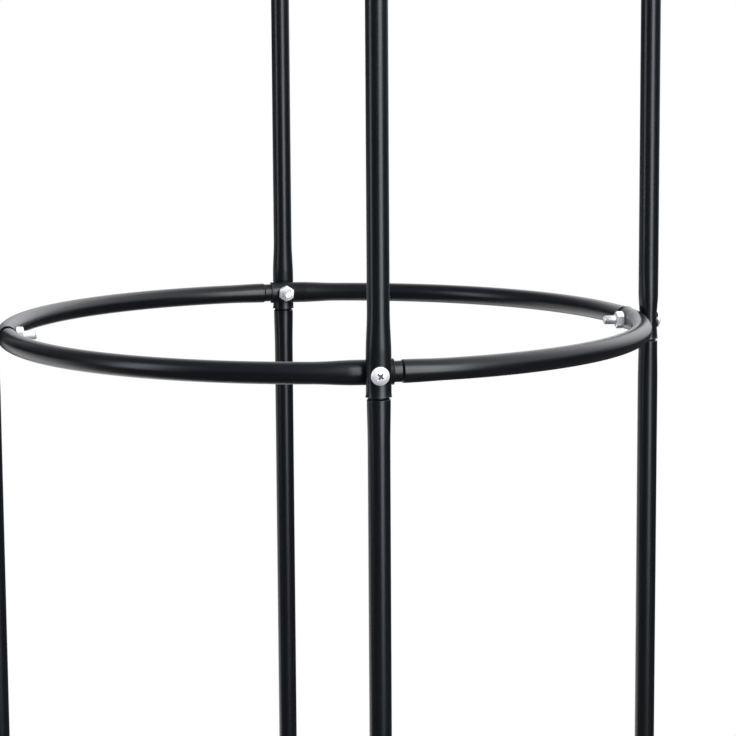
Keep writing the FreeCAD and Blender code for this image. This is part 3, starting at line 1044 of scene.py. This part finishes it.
@dataclass(frozen=True)
class ZincPlate(Finish):
    """Bright zinc plate with faint spangle and fine scratches, and painted shade, with some grime, where
    the mark is high: in the cross recess, thread roots, threaded length and over the nuts.
    """

    name: str = "zinc_plate"
    colour: Colour = (0.93, 0.935, 0.945)
    dull: Colour = (0.70, 0.71, 0.73)
    # Dark colour that the mark mixes in: painted shade, with some grime in the cross recess.
    grime_and_shade: Colour = (0.045, 0.045, 0.048)
    metallic: float = 0.62
    roughness: float = 0.25
    clouding: float = 0.5
    spangle: Grain = Grain(1.3 * MM, 2.5, 0.6)
    spangle_stops: Stops = ((0.35, 0.0), (0.75, 1.0))
    spangle_roughness: float = 0.10
    scratch: Grain = Grain(0.25 * MM, 3.0, 0.6, (6.0, 1.0, 1.0))
    scratch_roughness: float = 0.06
    scratch_depth: float = 0.002 * MM
    grime_and_shade_stops: Stops = ((0.06, 0.0), (0.55, 0.92))
    grime_and_shade_roughness: float = 0.30

    def sockets(self, graph: Graph) -> Inputs:
        """Sockets of this plate."""
        scratch = graph.noise(self.scratch)
        patch = graph.ramp(graph.noise(self.spangle), self.spangle_stops)
        # Share of painted shade from the mark: deep in the screws' cross recess, along the threads, and
        # evenly over the nuts.
        deep = graph.ramp(graph.attribute("mark"), self.grime_and_shade_stops)
        plate = graph.blend(patch * self.clouding, self.colour, self.dull)
        rough = self.roughness + self.spangle_roughness * patch + self.scratch_roughness * scratch
        return {
            "Base Color": graph.blend(deep, plate, self.grime_and_shade),
            "Metallic": self.metallic,
            "Roughness": rough + self.grime_and_shade_roughness * deep,
            "Normal": graph.bump(scratch, self.scratch_depth),
        }


@dataclass(frozen=True)
class BlackScrew(Finish):
    """Black passivated steel of the crown's small screws."""

    name: str = "black_screw"
    colour: Colour = (0.018, 0.019, 0.021)
    grain_gain: float = 2.2
    metallic: float = 0.6
    roughness: float = 0.34
    grain: Grain = Grain(0.5 * MM, 2.0)
    grain_roughness: float = 0.12
    grain_depth: float = 0.003 * MM

    def sockets(self, graph: Graph) -> Inputs:
        """Sockets of this finish."""
        grain = graph.noise(self.grain)
        return {
            "Base Color": graph.blend(grain, self.colour, brighter(self.colour, self.grain_gain)),
            "Metallic": self.metallic,
            "Roughness": self.roughness + self.grain_roughness * grain,
            "Normal": graph.bump(grain, self.grain_depth),
        }


@dataclass(frozen=True)
class MouldedPlastic(Finish):
    """Matt black plastic with a fine spark-eroded texture."""

    name: str = "foot_plastic"
    colour: Colour = (0.011, 0.011, 0.012)
    dusty: Colour = (0.035, 0.034, 0.032)
    roughness: float = 0.52
    specular: float = 0.4
    grain: Grain = Grain(0.4 * MM, 2.0, 0.6)
    grain_roughness: float = 0.14
    grain_depth: float = 0.012 * MM
    dust: Grain = Grain(5.0 * MM, 3.0, 0.6)
    dust_share: float = 0.5

    def sockets(self, graph: Graph) -> Inputs:
        """Sockets of this plastic."""
        grain, dust = graph.noise(self.grain), graph.noise(self.dust)
        return {
            "Base Color": graph.blend(dust * self.dust_share, self.colour, self.dusty),
            "Roughness": self.roughness + self.grain_roughness * grain,
            "Specular IOR Level": self.specular,
            "Normal": graph.bump(grain, self.grain_depth),
        }


class Paintbox:
    """Materials of the object, each made once, with the record's slot that it answers to."""

    def __init__(self) -> None:
        """Makes every finish."""
        finishes: dict[str, Finish] = {
            "tube_coat": PowderCoat(),
            "zinc_plate": ZincPlate(),
            "black_screw": BlackScrew(),
            "foot_plastic": MouldedPlastic(),
        }
        self.materials = {slot: finish.material() for slot, finish in finishes.items()}

    def dress(self, surface: Surface, node: str, slot: str) -> bpy.types.Object:
        """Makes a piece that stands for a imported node, in the finish of a slot.

        Args:
            surface: Shape of the piece.
            node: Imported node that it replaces.
            slot: Record's material slot.

        Returns:
            The piece.
        """
        piece = surface.to_object(f"{node}_piece")
        piece.data.materials.append(self.materials[slot])
        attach(piece, "root")
        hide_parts(node)
        LOG.info("%s: %d faces, %s", piece.name, len(surface.faces), slot)
        return piece


# The obelisk's own parts -----------------------------------------------------------------------------


@dataclass
class Layout:
    """Where the frame's pieces stand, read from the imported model."""

    upright_radius: float = field(default_factory=lambda: float(node_middle("upright_middle_right")[0]))
    heights: dict[Stage, float] = field(default_factory=lambda: {
        stage: float(node_middle(f"ring_{stage.value}_screws")[2]) for stage in Stage})
    seat_half: float = 7.4 * MM
    seat_gap: float = 0.05 * MM

    @property
    def ring_radius(self) -> float:
        """Radius of a ring's centre line: the pressed uprights lie against the pressed ring."""
        return self.upright_radius - 2.0 * self.seat_half - self.seat_gap


@dataclass
class Uprights:
    """Twelve straight sections, and four plugs under them."""

    layout: Layout
    plug_flange: float = 3.0 * MM
    plug_length: float = 20.0 * MM
    plug_radius: float = 7.4 * MM
    plug_wall: float = 1.6 * MM
    plug_gap: float = 0.05 * MM
    barb: float = 0.09 * MM
    barb_pitch: float = 3.2 * MM
    barb_rows: int = 56
    barbs_from: float = 0.2 * MM
    barbs_to: float = 1.2 * MM
    flange_corner: float = 0.8 * MM
    mouth_rise: float = 1.0 * MM
    mouth_taper: float = 0.7 * MM
    mouth_corner: float = 0.3 * MM
    around: int = 64
    section_names: tuple[str, ...] = ("bottom", "middle", "top")

    def section(self, side: Side, order: int) -> Surface:
        """One section, counted from the ground: its neck is at the ring above, its socket below."""
        heights = list(self.layout.heights.values())
        path = UprightPath(side, self.layout.upright_radius)
        end = TubeEnd(EndKind.NECK, heights[order])
        if order == 0:
            start = TubeEnd(EndKind.PLAIN, self.plug_flange)
        else:
            start = TubeEnd(EndKind.SOCKET, heights[order - 1])
        return Tube(path, start, end).surface()

    def plug(self, side: Side) -> Surface:
        """Foot plug: a flange as wide as the tube, and a cup whose outside has low rings.

        The rings are a sawtooth of the height: the radius grows down each one and drops back.
        """
        tube, outer = TubeSizes().radius, self.plug_radius - self.barb
        top, flange = self.plug_length, self.plug_flange - self.plug_gap
        base = rounded([(0.0, 0.0), (tube, 0.0), (tube, flange), (outer, flange)], self.flange_corner, 6)
        rise = np.linspace(flange + self.barbs_from, top - self.barbs_to, self.barb_rows)
        tooth = np.mod((rise - flange) / self.barb_pitch, 1.0)
        ringed = np.stack([self.plug_radius - self.barb * tooth, rise], axis=-1)
        inner = self.plug_radius - self.plug_wall
        corners = [(outer, top - self.mouth_rise), (self.plug_radius - self.mouth_taper, top),
                   (inner, top), (inner, flange), (0.0, flange)]
        mouth = rounded(corners, self.mouth_corner)
        body = turned_body(np.concatenate([base, ringed, mouth]), self.around, False)
        moved = body.points + np.array([self.layout.upright_radius, 0.0, 0.0])
        return Surface(moved, body.faces, body.edge).turned(side.angle)

    def build(self, paint: Paintbox) -> None:
        """Makes all sections and plugs."""
        for side in Side:
            for order, name in enumerate(self.section_names):
                paint.dress(self.section(side, order), f"upright_{name}_{side.label}", "tube_coat")
            paint.dress(self.plug(side), f"foot_plug_{side.label}", "foot_plastic")


@dataclass
class Rings:
    """Three rings of four arcs, with their screws and nuts."""

    layout: Layout
    screw: ScrewSizes = field(default_factory=ScrewSizes)
    nut: NutSizes = field(default_factory=NutSizes)
    arc_pitch: float = 4.0 * MM
    nut_spin: float = math.radians(30.0)
    nut_play: float = math.radians(8.0)
    random: np.random.Generator = field(default_factory=lambda: np.random.default_rng(SEED))

    def arc(self, quarter: Quarter, stage: Stage) -> Surface:
        """One arc: its neck is at its first joint, its socket at the next one round."""
        radius = self.layout.ring_radius
        path = RingPath(quarter.angle, radius, self.layout.heights[stage])
        start = TubeEnd(EndKind.NECK, 0.0, RING_JOINT)
        end = TubeEnd(EndKind.SOCKET, radius * math.pi / 2.0, RING_JOINT)
        return Tube(path, start, end, self.arc_pitch).surface()

    def head_seat(self) -> float:
        """Distance of a screw head's seat from the centre line."""
        return self.layout.upright_radius + self.layout.seat_half + self.layout.seat_gap

    def nut_seat(self) -> float:
        """Distance of a nut's seat from the centre line: the rim of its face meets the ring's curve."""
        inside = self.layout.ring_radius - self.layout.seat_half
        face = self.nut.half_flats * self.nut.face_share
        return math.sqrt(inside**2 - face**2) - self.layout.seat_gap

    def fasteners(self, stage: Stage, seat: float, way: float, spins: tuple[float, float],
                  shape: Callable[[float], Surface]) -> Surface:
        """Four like fasteners of one ring, each with its own spin.

        Args:
            stage: Which ring.
            seat: Distance of the seats from the centre line.
            way: +1 where they stand outwards from the seat, -1 inwards.
            spins: Least and greatest spin.
            shape: Makes the fastener from its spin.

        Returns:
            The four together.
        """
        made = []
        for side in Side:
            out = outward(side.angle)
            spin = float(self.random.uniform(*spins))
            origin = out * seat + UP * self.layout.heights[stage]
            made.append(shape(spin).placed(origin, np.cross(UP, out * way), UP, out * way))
        return Surface.together(made)

    def build(self, paint: Paintbox) -> None:
        """Makes all arcs, screws and nuts."""
        for stage in Stage:
            for quarter in Quarter:
                paint.dress(self.arc(quarter, stage), f"ring_{stage.value}_{quarter.label}", "tube_coat")
            screws = self.fasteners(stage, self.head_seat(), 1.0, (0.0, TAU), self.screw.surface)
            spins = (self.nut_spin - self.nut_play, self.nut_spin + self.nut_play)
            nuts = self.fasteners(stage, self.nut_seat(), -1.0, spins, self.nut.surface)
            paint.dress(screws, f"ring_{stage.value}_screws", "zinc_plate")
            paint.dress(nuts, f"ring_{stage.value}_nuts", "zinc_plate")


@dataclass
class Crown:
    """Four curved ribs, the hub that they meet in, and its screws."""

    layout: Layout
    spring_rise: float = 70.0 * MM
    turn: float = math.radians(58.0)
    lip_to_axis: float = 27.0 * MM
    straight: float = 30.0 * MM
    stub_length: float = 26.0 * MM
    stub_radius: float = 7.2 * MM
    stub_wall: float = 1.6 * MM
    hub_radius: float = 15.0 * MM
    hub_above: float = 10.0 * MM
    hub_below: float = 23.0 * MM
    hub_edge: float = 1.5 * MM
    bore: float = 4.2 * MM
    screw_back: float = 13.0 * MM
    screw_spin: float = 0.5
    rib_pitch: float = 6.0 * MM
    stub_pitch: float = 20.0 * MM
    stub_edge: float = 0.5 * MM
    stub_sunk: float = 0.6
    hub_corner: float = 0.5 * MM
    hub_around: int = 96
    weld: float = 1.5 * MM
    weld_ripple: float = 0.10
    weld_ripples: float = 19.0
    weld_rows: int = 160
    weld_around: int = 20
    screw: ScrewSizes = field(default_factory=lambda: ScrewSizes(
        head_radius=4.2 * MM, head_height=2.6 * MM, rim_share=0.3, shank_radius=2.1 * MM, length=9.0 * MM,
        threaded=6.0 * MM, recess_span=2.1 * MM, recess_half_width=0.55 * MM, recess_depth=1.2 * MM,
        recess_edge=0.22 * MM, around=72))

    @property
    def spring(self) -> float:
        """Height at which the ribs start to bend."""
        return self.layout.heights[Stage.UPPER] + self.spring_rise

    @property
    def bend(self) -> float:
        """Radius of the bend that brings a rib's lip to its place at the hub."""
        level = self.layout.upright_radius - self.lip_to_axis - self.straight * math.sin(self.turn)
        return level / (1.0 - math.cos(self.turn))

    @property
    def lip(self) -> Array:
        """Centre of the right-hand rib's upper lip."""
        height = self.spring + self.bend * math.sin(self.turn) + self.straight * math.cos(self.turn)
        return np.array([self.lip_to_axis, 0.0, height])

    @property
    def inward(self) -> Array:
        """Direction of the right-hand rib's upper end, towards the hub."""
        return np.array([-math.sin(self.turn), 0.0, math.cos(self.turn)])

    @property
    def hub_height(self) -> float:
        """Height at which the four stub axes meet."""
        return float(self.lip[2]) + self.lip_to_axis / math.tan(self.turn)

    def rib(self, side: Side) -> Surface:
        """One rib: its socket is at the upper ring, its plain end at the hub."""
        path = RibPath(side, self.layout.upright_radius, self.spring, self.bend, self.turn)
        start = TubeEnd(EndKind.SOCKET, -self.spring_rise)
        end = TubeEnd(EndKind.PLAIN, self.bend * self.turn + self.straight)
        return Tube(path, start, end, self.rib_pitch).surface()

    def weld_bead(self) -> Surface:
        """Bead round the right-hand stub's foot.

        Its middle line is where the stub's cylinder meets the hub's: at each angle round the stub the
        point slides along the stub until its distance from the centre line is the hub's radius. The bead
        is a circle swept along that line, with a ripple of the angle on its size.
        """
        turn = full_turn(self.weld_rows)
        other = np.cross(self.inward, BACKWARD)
        out = np.cos(turn)[:, None] * BACKWARD + np.sin(turn)[:, None] * other
        ring = self.stub_radius * out
        level = np.sqrt(self.hub_radius**2 - ring[:, 1] ** 2)
        slide = (level - ring[:, 0]) / -self.inward[0]
        line = UP * self.hub_height + ring - slide[:, None] * self.inward
        size = self.weld * (1.0 + self.weld_ripple * np.sin(self.weld_ripples * turn))[:, None, None]
        bend = full_turn(self.weld_around)[None, :, None]
        grid = line[:, None, :] + size * (np.cos(bend) * out[:, None, :] - np.sin(bend) * self.inward)
        return Surface.from_grid(grid, True)

    def hub(self) -> Surface:
        """Bored core with four stubs and their welds."""
        low, high = self.hub_height - self.hub_below, self.hub_height + self.hub_above
        edge, radius = self.hub_edge, self.hub_radius
        corners = [(self.bore, low), (radius - edge, low), (radius, low + edge), (radius, high - edge),
                   (radius - edge, high), (self.bore, high)]
        core = turned_body(rounded(corners, self.hub_corner), self.hub_around, True)
        tip = self.lip - self.inward * self.stub_length
        reach = float(np.linalg.norm(UP * self.hub_height - tip)) - self.stub_sunk * self.hub_radius
        sizes = TubeSizes(wall=self.stub_wall, edge_radius=self.stub_edge)
        start, end = TubeEnd(EndKind.PLAIN, 0.0), TubeEnd(EndKind.PLAIN, reach)
        path = LinePath(tip, self.inward, BACKWARD)
        stub = Tube(path, start, end, self.stub_pitch, sizes, self.stub_radius).surface()
        spokes = (stub, self.weld_bead())
        return Surface.together([core] + [part.turned(side.angle) for side in Side for part in spokes])

    def screws(self) -> Surface:
        """Four small screws on top of the ribs' upper ends."""
        out = np.array([math.cos(self.turn), 0.0, math.sin(self.turn)])
        reach = TubeSizes().radius + self.layout.seat_gap
        origin = self.lip - self.inward * self.screw_back + out * reach
        screw = self.screw.surface(self.screw_spin)
        made = screw.placed(origin, BACKWARD, np.cross(out, BACKWARD), out)
        return Surface.together([made.turned(side.angle) for side in Side])

    def build(self, paint: Paintbox) -> None:
        """Makes the ribs, the hub and the screws."""
        for side in Side:
            paint.dress(self.rib(side), f"dome_rib_{side.label}", "tube_coat")
        paint.dress(self.hub(), "crown_hub", "tube_coat")
        paint.dress(self.screws(), "crown_screws", "black_screw")


@dataclass
class Finial:
    """Ball on a turned collar, held down through the hub by a stud, a washer and a nut."""

    crown: Crown
    ball_radius: float = 30.0 * MM
    boss_radius: float = 9.0 * MM
    collar_radius: float = 17.0 * MM
    collar_height: float = 13.0 * MM
    collar_foot: float = 3.0 * MM
    collar_waist: float = 8.5 * MM
    stud_radius: float = 4.0 * MM
    stud_in_ball: float = 12.0 * MM
    stud_below: float = 12.0 * MM
    hole_gap: float = 0.2 * MM
    seat_gap: float = 0.05 * MM
    washer_radius: float = 12.0 * MM
    washer_height: float = 2.0 * MM
    washer_corner: float = 0.4 * MM
    nut_spin: float = 0.3
    ball_rows: int = 72
    ball_around: int = 128
    bore_edge: float = 0.3 * MM
    bore_past_stud: float = 1.0 * MM
    collar_rows: int = 28
    collar_around: int = 112
    collar_corner: float = 0.5 * MM
    foot_bevel_height: float = 0.4 * MM
    foot_bevel: float = 0.6 * MM
    neck_below_top: float = 1.6 * MM
    bead: float = 1.1 * MM
    bead_rows: int = 9
    bead_from: float = 0.15
    bead_height: float = 1.5 * MM
    bead_below_top: float = 0.05 * MM
    collar_top_edge: float = 0.4 * MM
    stud_lead: float = 1.0 * MM
    stud_in_hub: float = 1.0 * MM
    stud_around: int = 72
    washer_around: int = 96
    nut: NutSizes = field(default_factory=NutSizes)
    thread: Thread = field(default_factory=Thread)

    @property
    def base(self) -> float:
        """Height of the hub's top."""
        return self.crown.hub_height + self.crown.hub_above

    @property
    def under(self) -> float:
        """Height of the hub's underside."""
        return self.crown.hub_height - self.crown.hub_below

    def ball(self) -> Surface:
        """Ball with a flat seat and a bore for the stud.

        The profile is the ball's radius times the sine and the cosine of the angle from its top.
        """
        seat = self.base + self.collar_height + 2.0 * self.seat_gap
        rise = math.sqrt(self.ball_radius**2 - self.boss_radius**2)
        last = math.pi - math.asin(self.boss_radius / self.ball_radius)
        angle = np.linspace(0.0, last, self.ball_rows)
        height = seat + rise + self.ball_radius * np.cos(angle)
        shell = np.stack([self.ball_radius * np.sin(angle), height], axis=-1)
        bore, edge = self.stud_radius + self.seat_gap, self.bore_edge
        end = seat + self.stud_in_ball + self.bore_past_stud
        inside = np.array([(bore + edge, seat), (bore, seat + edge), (bore, end), (0.0, end)])
        return turned_body(np.concatenate([shell, inside]), self.ball_around, False)

    def collar(self) -> Surface:
        """Turned collar: a foot, a hollow waist, and a bead under the ball.

        The waist is a quarter of an ellipse less a little of a squared sine, and the bead is a half sine.
        """
        low = self.base + self.seat_gap
        top = low + self.collar_height
        foot = low + self.collar_foot
        share = np.linspace(0.0, 1.0, self.collar_rows)
        reach = self.collar_radius - self.boss_radius
        waist = self.boss_radius + reach * (1.0 - np.sqrt(1.0 - (1.0 - share) ** 2))
        dip = (self.boss_radius - self.collar_waist) * np.sin(share * math.pi) ** 2
        neck_r = waist - dip - self.foot_bevel * (1.0 - share)
        neck = np.stack([neck_r, foot + share * (top - foot - self.neck_below_top)], axis=-1)
        hole = self.stud_radius + self.hole_gap
        bulge = np.sin(np.linspace(self.bead_from, 1.0, self.bead_rows) * math.pi)
        bead_z = np.linspace(top - self.bead_height, top - self.bead_below_top, self.bead_rows)
        bead = np.stack([self.boss_radius + self.bead * bulge, bead_z], axis=-1)
        corners = [(hole, low), (self.collar_radius, low),
                   (self.collar_radius, foot - self.foot_bevel_height),
                   (self.collar_radius - self.foot_bevel, foot)]
        start = rounded(corners, self.collar_corner, 5)
        end = np.array([(self.boss_radius - self.collar_top_edge, top), (hole, top)])
        return turned_body(np.concatenate([start, neck, bead, end]), self.collar_around, True)

    def stud(self) -> Surface:
        """Stud from under the nut into the ball, threaded where it shows below the hub."""
        low, high = self.under - self.stud_below, self.base + self.collar_height + self.stud_in_ball
        lead, pitch = self.stud_lead, self.thread.pitch
        shown = self.under - self.stud_in_hub
        threaded = steps(low + lead, shown, pitch / self.thread.rows)
        rows_z = np.concatenate([[low, low + 0.5 * lead], threaded, [shown, high - lead, high]])[:, None]
        rows_r = np.full_like(rows_z, self.stud_radius)
        rows_r[0] -= lead
        rows_r[1] -= 0.5 * lead
        rows_r[-1] -= lead
        turn = full_turn(self.stud_around)[None, :]
        share = smooth((shown - rows_z) / pitch) * smooth((rows_z - low) / lead)
        radius = rows_r - share * self.thread.fall(rows_z, turn)
        return Surface.from_grid(about_axis(radius, turn, rows_z), False)

    def washer(self) -> Surface:
        """Flat washer with two rounded outer edges."""
        top = self.under - self.seat_gap
        low = top - self.washer_height
        hole = self.stud_radius + self.hole_gap
        corners = [(hole, low), (self.washer_radius, low), (self.washer_radius, top), (hole, top)]
        return turned_body(rounded(corners, self.washer_corner, 5), self.washer_around, True)

    def lock_nut(self) -> Surface:
        """Hexagon nut under the washer, standing downwards from its seat."""
        seat = UP * (self.under - 2.0 * self.seat_gap - self.washer_height)
        return self.nut.surface(self.nut_spin).placed(seat, np.array([1.0, 0.0, 0.0]), -BACKWARD, -UP)

    def build(self, paint: Paintbox) -> None:
        """Makes the finial's pieces."""
        for name, slot, shape in (
            ("ball", "tube_coat", self.ball),
            ("collar", "tube_coat", self.collar),
            ("stud", "zinc_plate", self.stud),
            ("washer", "zinc_plate", self.washer),
            ("nut", "zinc_plate", self.lock_nut),
        ):
            paint.dress(shape(), f"finial_{name}", slot)


# Studio ----------------------------------------------------------------------------------------------


@dataclass(frozen=True)
class SoftBox:
    """Area light that faces a point on the centre line.

    Attributes:
        name: Name of the light.
        turn: Degrees from the camera's side, to the right as the camera sees it.
        height: Height of its centre.
        distance: Level distance from the centre line.
        size: Width and height of its face.
        power: Watts.
        aim: Height that it faces on the centre line.
        tint: Colour.
        seen: Whether gloss shows it.
    """

    name: str
    turn: float
    height: float
    distance: float
    size: tuple[float, float]
    power: float
    aim: float = 1.1
    tint: Colour = (1.0, 1.0, 1.0)
    seen: bool = True


@dataclass(frozen=True)
class Room:
    """Pale room: white to the eye, and in reflections dim below and brighter above and to the right.

    The brightness in reflections is a sum: a little everywhere, a backdrop round one direction behind,
    and a ceiling, which is a ramp of the height times a ramp of the share to the right.
    """

    everywhere: float = 0.02
    backdrop: float = 1.3
    backdrop_away: float = 0.87
    backdrop_right: float = 0.32
    backdrop_up: float = 0.37
    backdrop_stops: Stops = ((0.50, 0.0), (0.78, 0.45), (0.93, 1.0))
    ceiling: float = 0.17
    ceiling_right: float = 1.1
    ceiling_stops: Stops = ((0.04, 0.0), (0.35, 1.0))
    right_stops: Stops = ((0.45, 0.0), (0.80, 1.0))
    tint: Colour = (0.95, 0.97, 1.0)

    def build(self, right: Array, away: Array) -> None:
        """Makes the world, turned by the level directions to the camera's right and away from it."""
        world = bpy.data.worlds.new("room")
        world.use_nodes = True
        graph = Graph(world.node_tree)
        way = graph.node("ShaderNodeTexCoord").outputs["Generated"]
        middle = self.backdrop_away * away + self.backdrop_right * right + self.backdrop_up * UP
        backdrop = graph.ramp(graph.dot(way, middle), self.backdrop_stops)
        ceiling = graph.ramp(graph.dot(way, UP), self.ceiling_stops)
        rightward = graph.ramp(graph.dot(way, right) * 0.5 + 0.5, self.right_stops)
        above = ceiling * (self.ceiling + self.ceiling_right * rightward)
        glow = self.everywhere + self.backdrop * backdrop + above
        background = "ShaderNodeBackground"
        dim = graph.node(background, None, {"Color": (*self.tint, 1.0), "Strength": glow})
        white = graph.node(background, None, {"Color": (1.0, 1.0, 1.0, 1.0), "Strength": 1.0})
        ray = graph.node("ShaderNodeLightPath").outputs["Is Camera Ray"]
        mixed = graph.node("ShaderNodeMixShader", None, {0: ray, 1: dim.outputs[0], 2: white.outputs[0]})
        graph.node("ShaderNodeOutputWorld", None, {"Surface": mixed.outputs[0]})
        bpy.context.scene.world = world


@dataclass(frozen=True)
class Floor:
    """Pale round floor: paper white under the object, and lost in white further out.

    To light and gloss it is dark, as painted shade, and pale in a painted pool of light that the tubes
    reflect: a ramp of the distance to the left times a ramp of the distance behind.
    """

    radius: float = 14.0
    spread: float = 1.5
    rows: int = 24
    around: int = 96
    drop: float = 0.5 * MM
    thickness: float = 10.0 * MM
    paper: float = 0.9
    far_scale: float = 0.25
    far_stops: Stops = ((0.25, 0.0), (0.55, 1.0))
    # Levels seen only by light and gloss: dark as painted shade, and a painted pool of light behind and to
    # the left.
    dark: float = 0.05
    painted_pool_light: float = 0.85
    left_shift: float = 0.5
    left_stops: Stops = ((0.30, 0.0), (0.80, 1.0))
    behind_stops: Stops = ((0.1, 0.0), (0.7, 1.0))

    def surface(self) -> Surface:
        """Thin disc; its rows of points are closer together near the middle."""
        share = np.linspace(0.0, 1.0, self.rows)[:, None]
        grid = about_axis(self.radius * share**self.spread, full_turn(self.around)[None, :], -self.drop)
        below = self.thickness * UP
        return Surface.from_grid(np.concatenate([grid, grid[-1:] - below, grid[:1] - below]), False)

    def material(self, right: Array, away: Array) -> bpy.types.Material:
        """Material of the floor, turned by the level directions to the camera's right and away from it."""
        made = bpy.data.materials.new("paper_floor")
        made.use_nodes = True
        graph = Graph(made.node_tree)
        paper_colour = (self.paper, self.paper, self.paper, 1.0)
        reach = graph.node("ShaderNodeVectorMath", {"operation": "LENGTH"}, {0: graph.place()})
        far = graph.ramp(Value(graph, reach.outputs["Value"]) * self.far_scale, self.far_stops)
        paper = graph.node("ShaderNodeBsdfDiffuse", None, {"Color": paper_colour})
        white = graph.node("ShaderNodeEmission", None, {"Color": (1.0, 1.0, 1.0, 1.0), "Strength": 1.0})
        seen = graph.node("ShaderNodeMixShader", None, {0: far, 1: paper.outputs[0], 2: white.outputs[0]})
        # Painted light and shade of the floor for reflections and bounce: dark in front, a pale painted
        # pool behind and to the left.
        leftward = graph.ramp(graph.dot(graph.place(), -right) + self.left_shift, self.left_stops)
        behind = graph.ramp(graph.dot(graph.place(), away), self.behind_stops)
        painted_light_and_shade = graph.blend(self.dark + self.painted_pool_light * (leftward * behind), (0.0, 0.0, 0.0), (1.0, 1.0, 1.0))
        grey = graph.node("ShaderNodeBsdfDiffuse", None, {"Color": painted_light_and_shade})
        ray = graph.node("ShaderNodeLightPath").outputs["Is Camera Ray"]
        whole = graph.node("ShaderNodeMixShader", None, {0: ray, 1: grey.outputs[0], 2: seen.outputs[0]})
        graph.node("ShaderNodeOutputMaterial", None, {"Surface": whole.outputs[0]})
        return made

    def build(self, right: Array, away: Array) -> None:
        """Makes the floor."""
        piece = self.surface().to_object("floor")
        piece.data.materials.append(self.material(right, away))


@dataclass
class Studio:
    """Camera, floor, surroundings and lights; its angles are in degrees.

    Attributes:
        layout: Where the frame's pieces stand.
        camera_turn: Camera's bearing from the front, to the right.
        camera_rise: Camera's rise over the middle ring, seen from the ring's centre.
        camera_distance: Distance from that centre.
        camera_lens: Focal length in millimetres.
        sensor: Width of the sensor in millimetres.
        aim_right: Turn of the line of sight to the right of that centre.
        aim_down: Turn of the line of sight below it.
        camera_roll: Roll about the line of sight.
        clip: Nearest and furthest distance that the camera sees.
        boxes: The lights.
    """

    layout: Layout
    camera_turn: float = -8.05
    camera_rise: float = 7.30
    camera_distance: float = 2.2097
    camera_lens: float = 127.6
    sensor: float = 36.0
    aim_right: float = 0.938
    aim_down: float = 0.898
    camera_roll: float = 0.48
    clip: tuple[float, float] = (0.05, 60.0)
    boxes: tuple[SoftBox, ...] = (
        SoftBox("key_box", 31.0, 1.67, 2.2, (1.1, 2.3), 47.0, 1.2, tint=(0.92, 0.96, 1.0)),
        SoftBox("left_box", -64.0, 1.7, 2.4, (0.6, 1.8), 15.0, 1.2, tint=(0.88, 0.92, 1.0)),
        SoftBox("fill_box", 5.0, 1.5, 3.0, (2.4, 2.4), 40.0, 1.1, seen=False),
        SoftBox("top_box", 10.0, 4.2, 0.6, (3.6, 3.6), 300.0, 0.0, seen=False),
    )

    @property
    def right(self) -> Array:
        """Level direction to the camera's right."""
        return outward(math.radians(self.camera_turn))

    @property
    def away(self) -> Array:
        """Level direction away from the camera."""
        return sideways(math.radians(self.camera_turn))

    def camera(self) -> None:
        """Camera on a sphere round the middle ring's centre, turned a little off it and rolled.

        The line to the ring's centre is turned down, then right, by the aim angles, in the camera's own
        axes, and the camera is then rolled about its line of sight.
        """
        rise, roll = math.radians(self.camera_rise), math.radians(self.camera_roll)
        back = UP * math.sin(rise) - self.away * math.cos(rise)
        up = np.cross(back, self.right)
        right_off, down_off = math.tan(math.radians(self.aim_right)), math.tan(math.radians(self.aim_down))
        sight = -back + right_off * self.right - down_off * up
        sight /= np.linalg.norm(sight)
        level = np.cross(sight, up)
        level /= np.linalg.norm(level)
        over = np.cross(level, sight)
        side = math.cos(roll) * level - math.sin(roll) * over
        top = math.cos(roll) * over + math.sin(roll) * level
        data = bpy.data.cameras.new("camera")
        data.sensor_width = self.sensor
        data.lens = self.camera_lens
        data.clip_start, data.clip_end = self.clip
        made = add_object("camera", data)
        place = UP * self.layout.heights[Stage.MIDDLE] + back * self.camera_distance
        made.matrix_world = standing(side, top, -sight, place)
        bpy.context.scene.camera = made

    def lights(self) -> None:
        """Area lights, each facing its aim."""
        for box in self.boxes:
            angle = math.radians(-90.0 + self.camera_turn + box.turn)
            place = outward(angle) * box.distance + UP * box.height
            data = bpy.data.lights.new(box.name, "AREA")
            data.shape = "RECTANGLE"
            data.size, data.size_y = box.size
            data.energy = box.power
            data.color = box.tint
            toward = place - UP * box.aim
            toward /= np.linalg.norm(toward)
            across = np.cross(UP, toward)
            across /= np.linalg.norm(across)
            made = add_object(box.name, data)
            made.matrix_world = standing(across, np.cross(toward, across), toward, place)
            made.visible_camera = False
            made.visible_glossy = box.seen

    def build(self) -> None:
        """Sets the whole studio up."""
        bpy.context.scene.view_settings.view_transform = "Standard"
        self.camera()
        self.lights()
        Room().build(self.right, self.away)
        Floor().build(self.right, self.away)


def main() -> None:
    """Builds the studio, then the obelisk from the ground up."""
    logging.basicConfig(level=logging.INFO, format="%(name)s %(message)s")
    layout = Layout()
    Studio(layout).build()
    paint = Paintbox()
    crown = Crown(layout)
    for group in (Uprights(layout), Rings(layout), crown, Finial(crown)):
        group.build(paint)


if __name__ == "__main__":
    main()
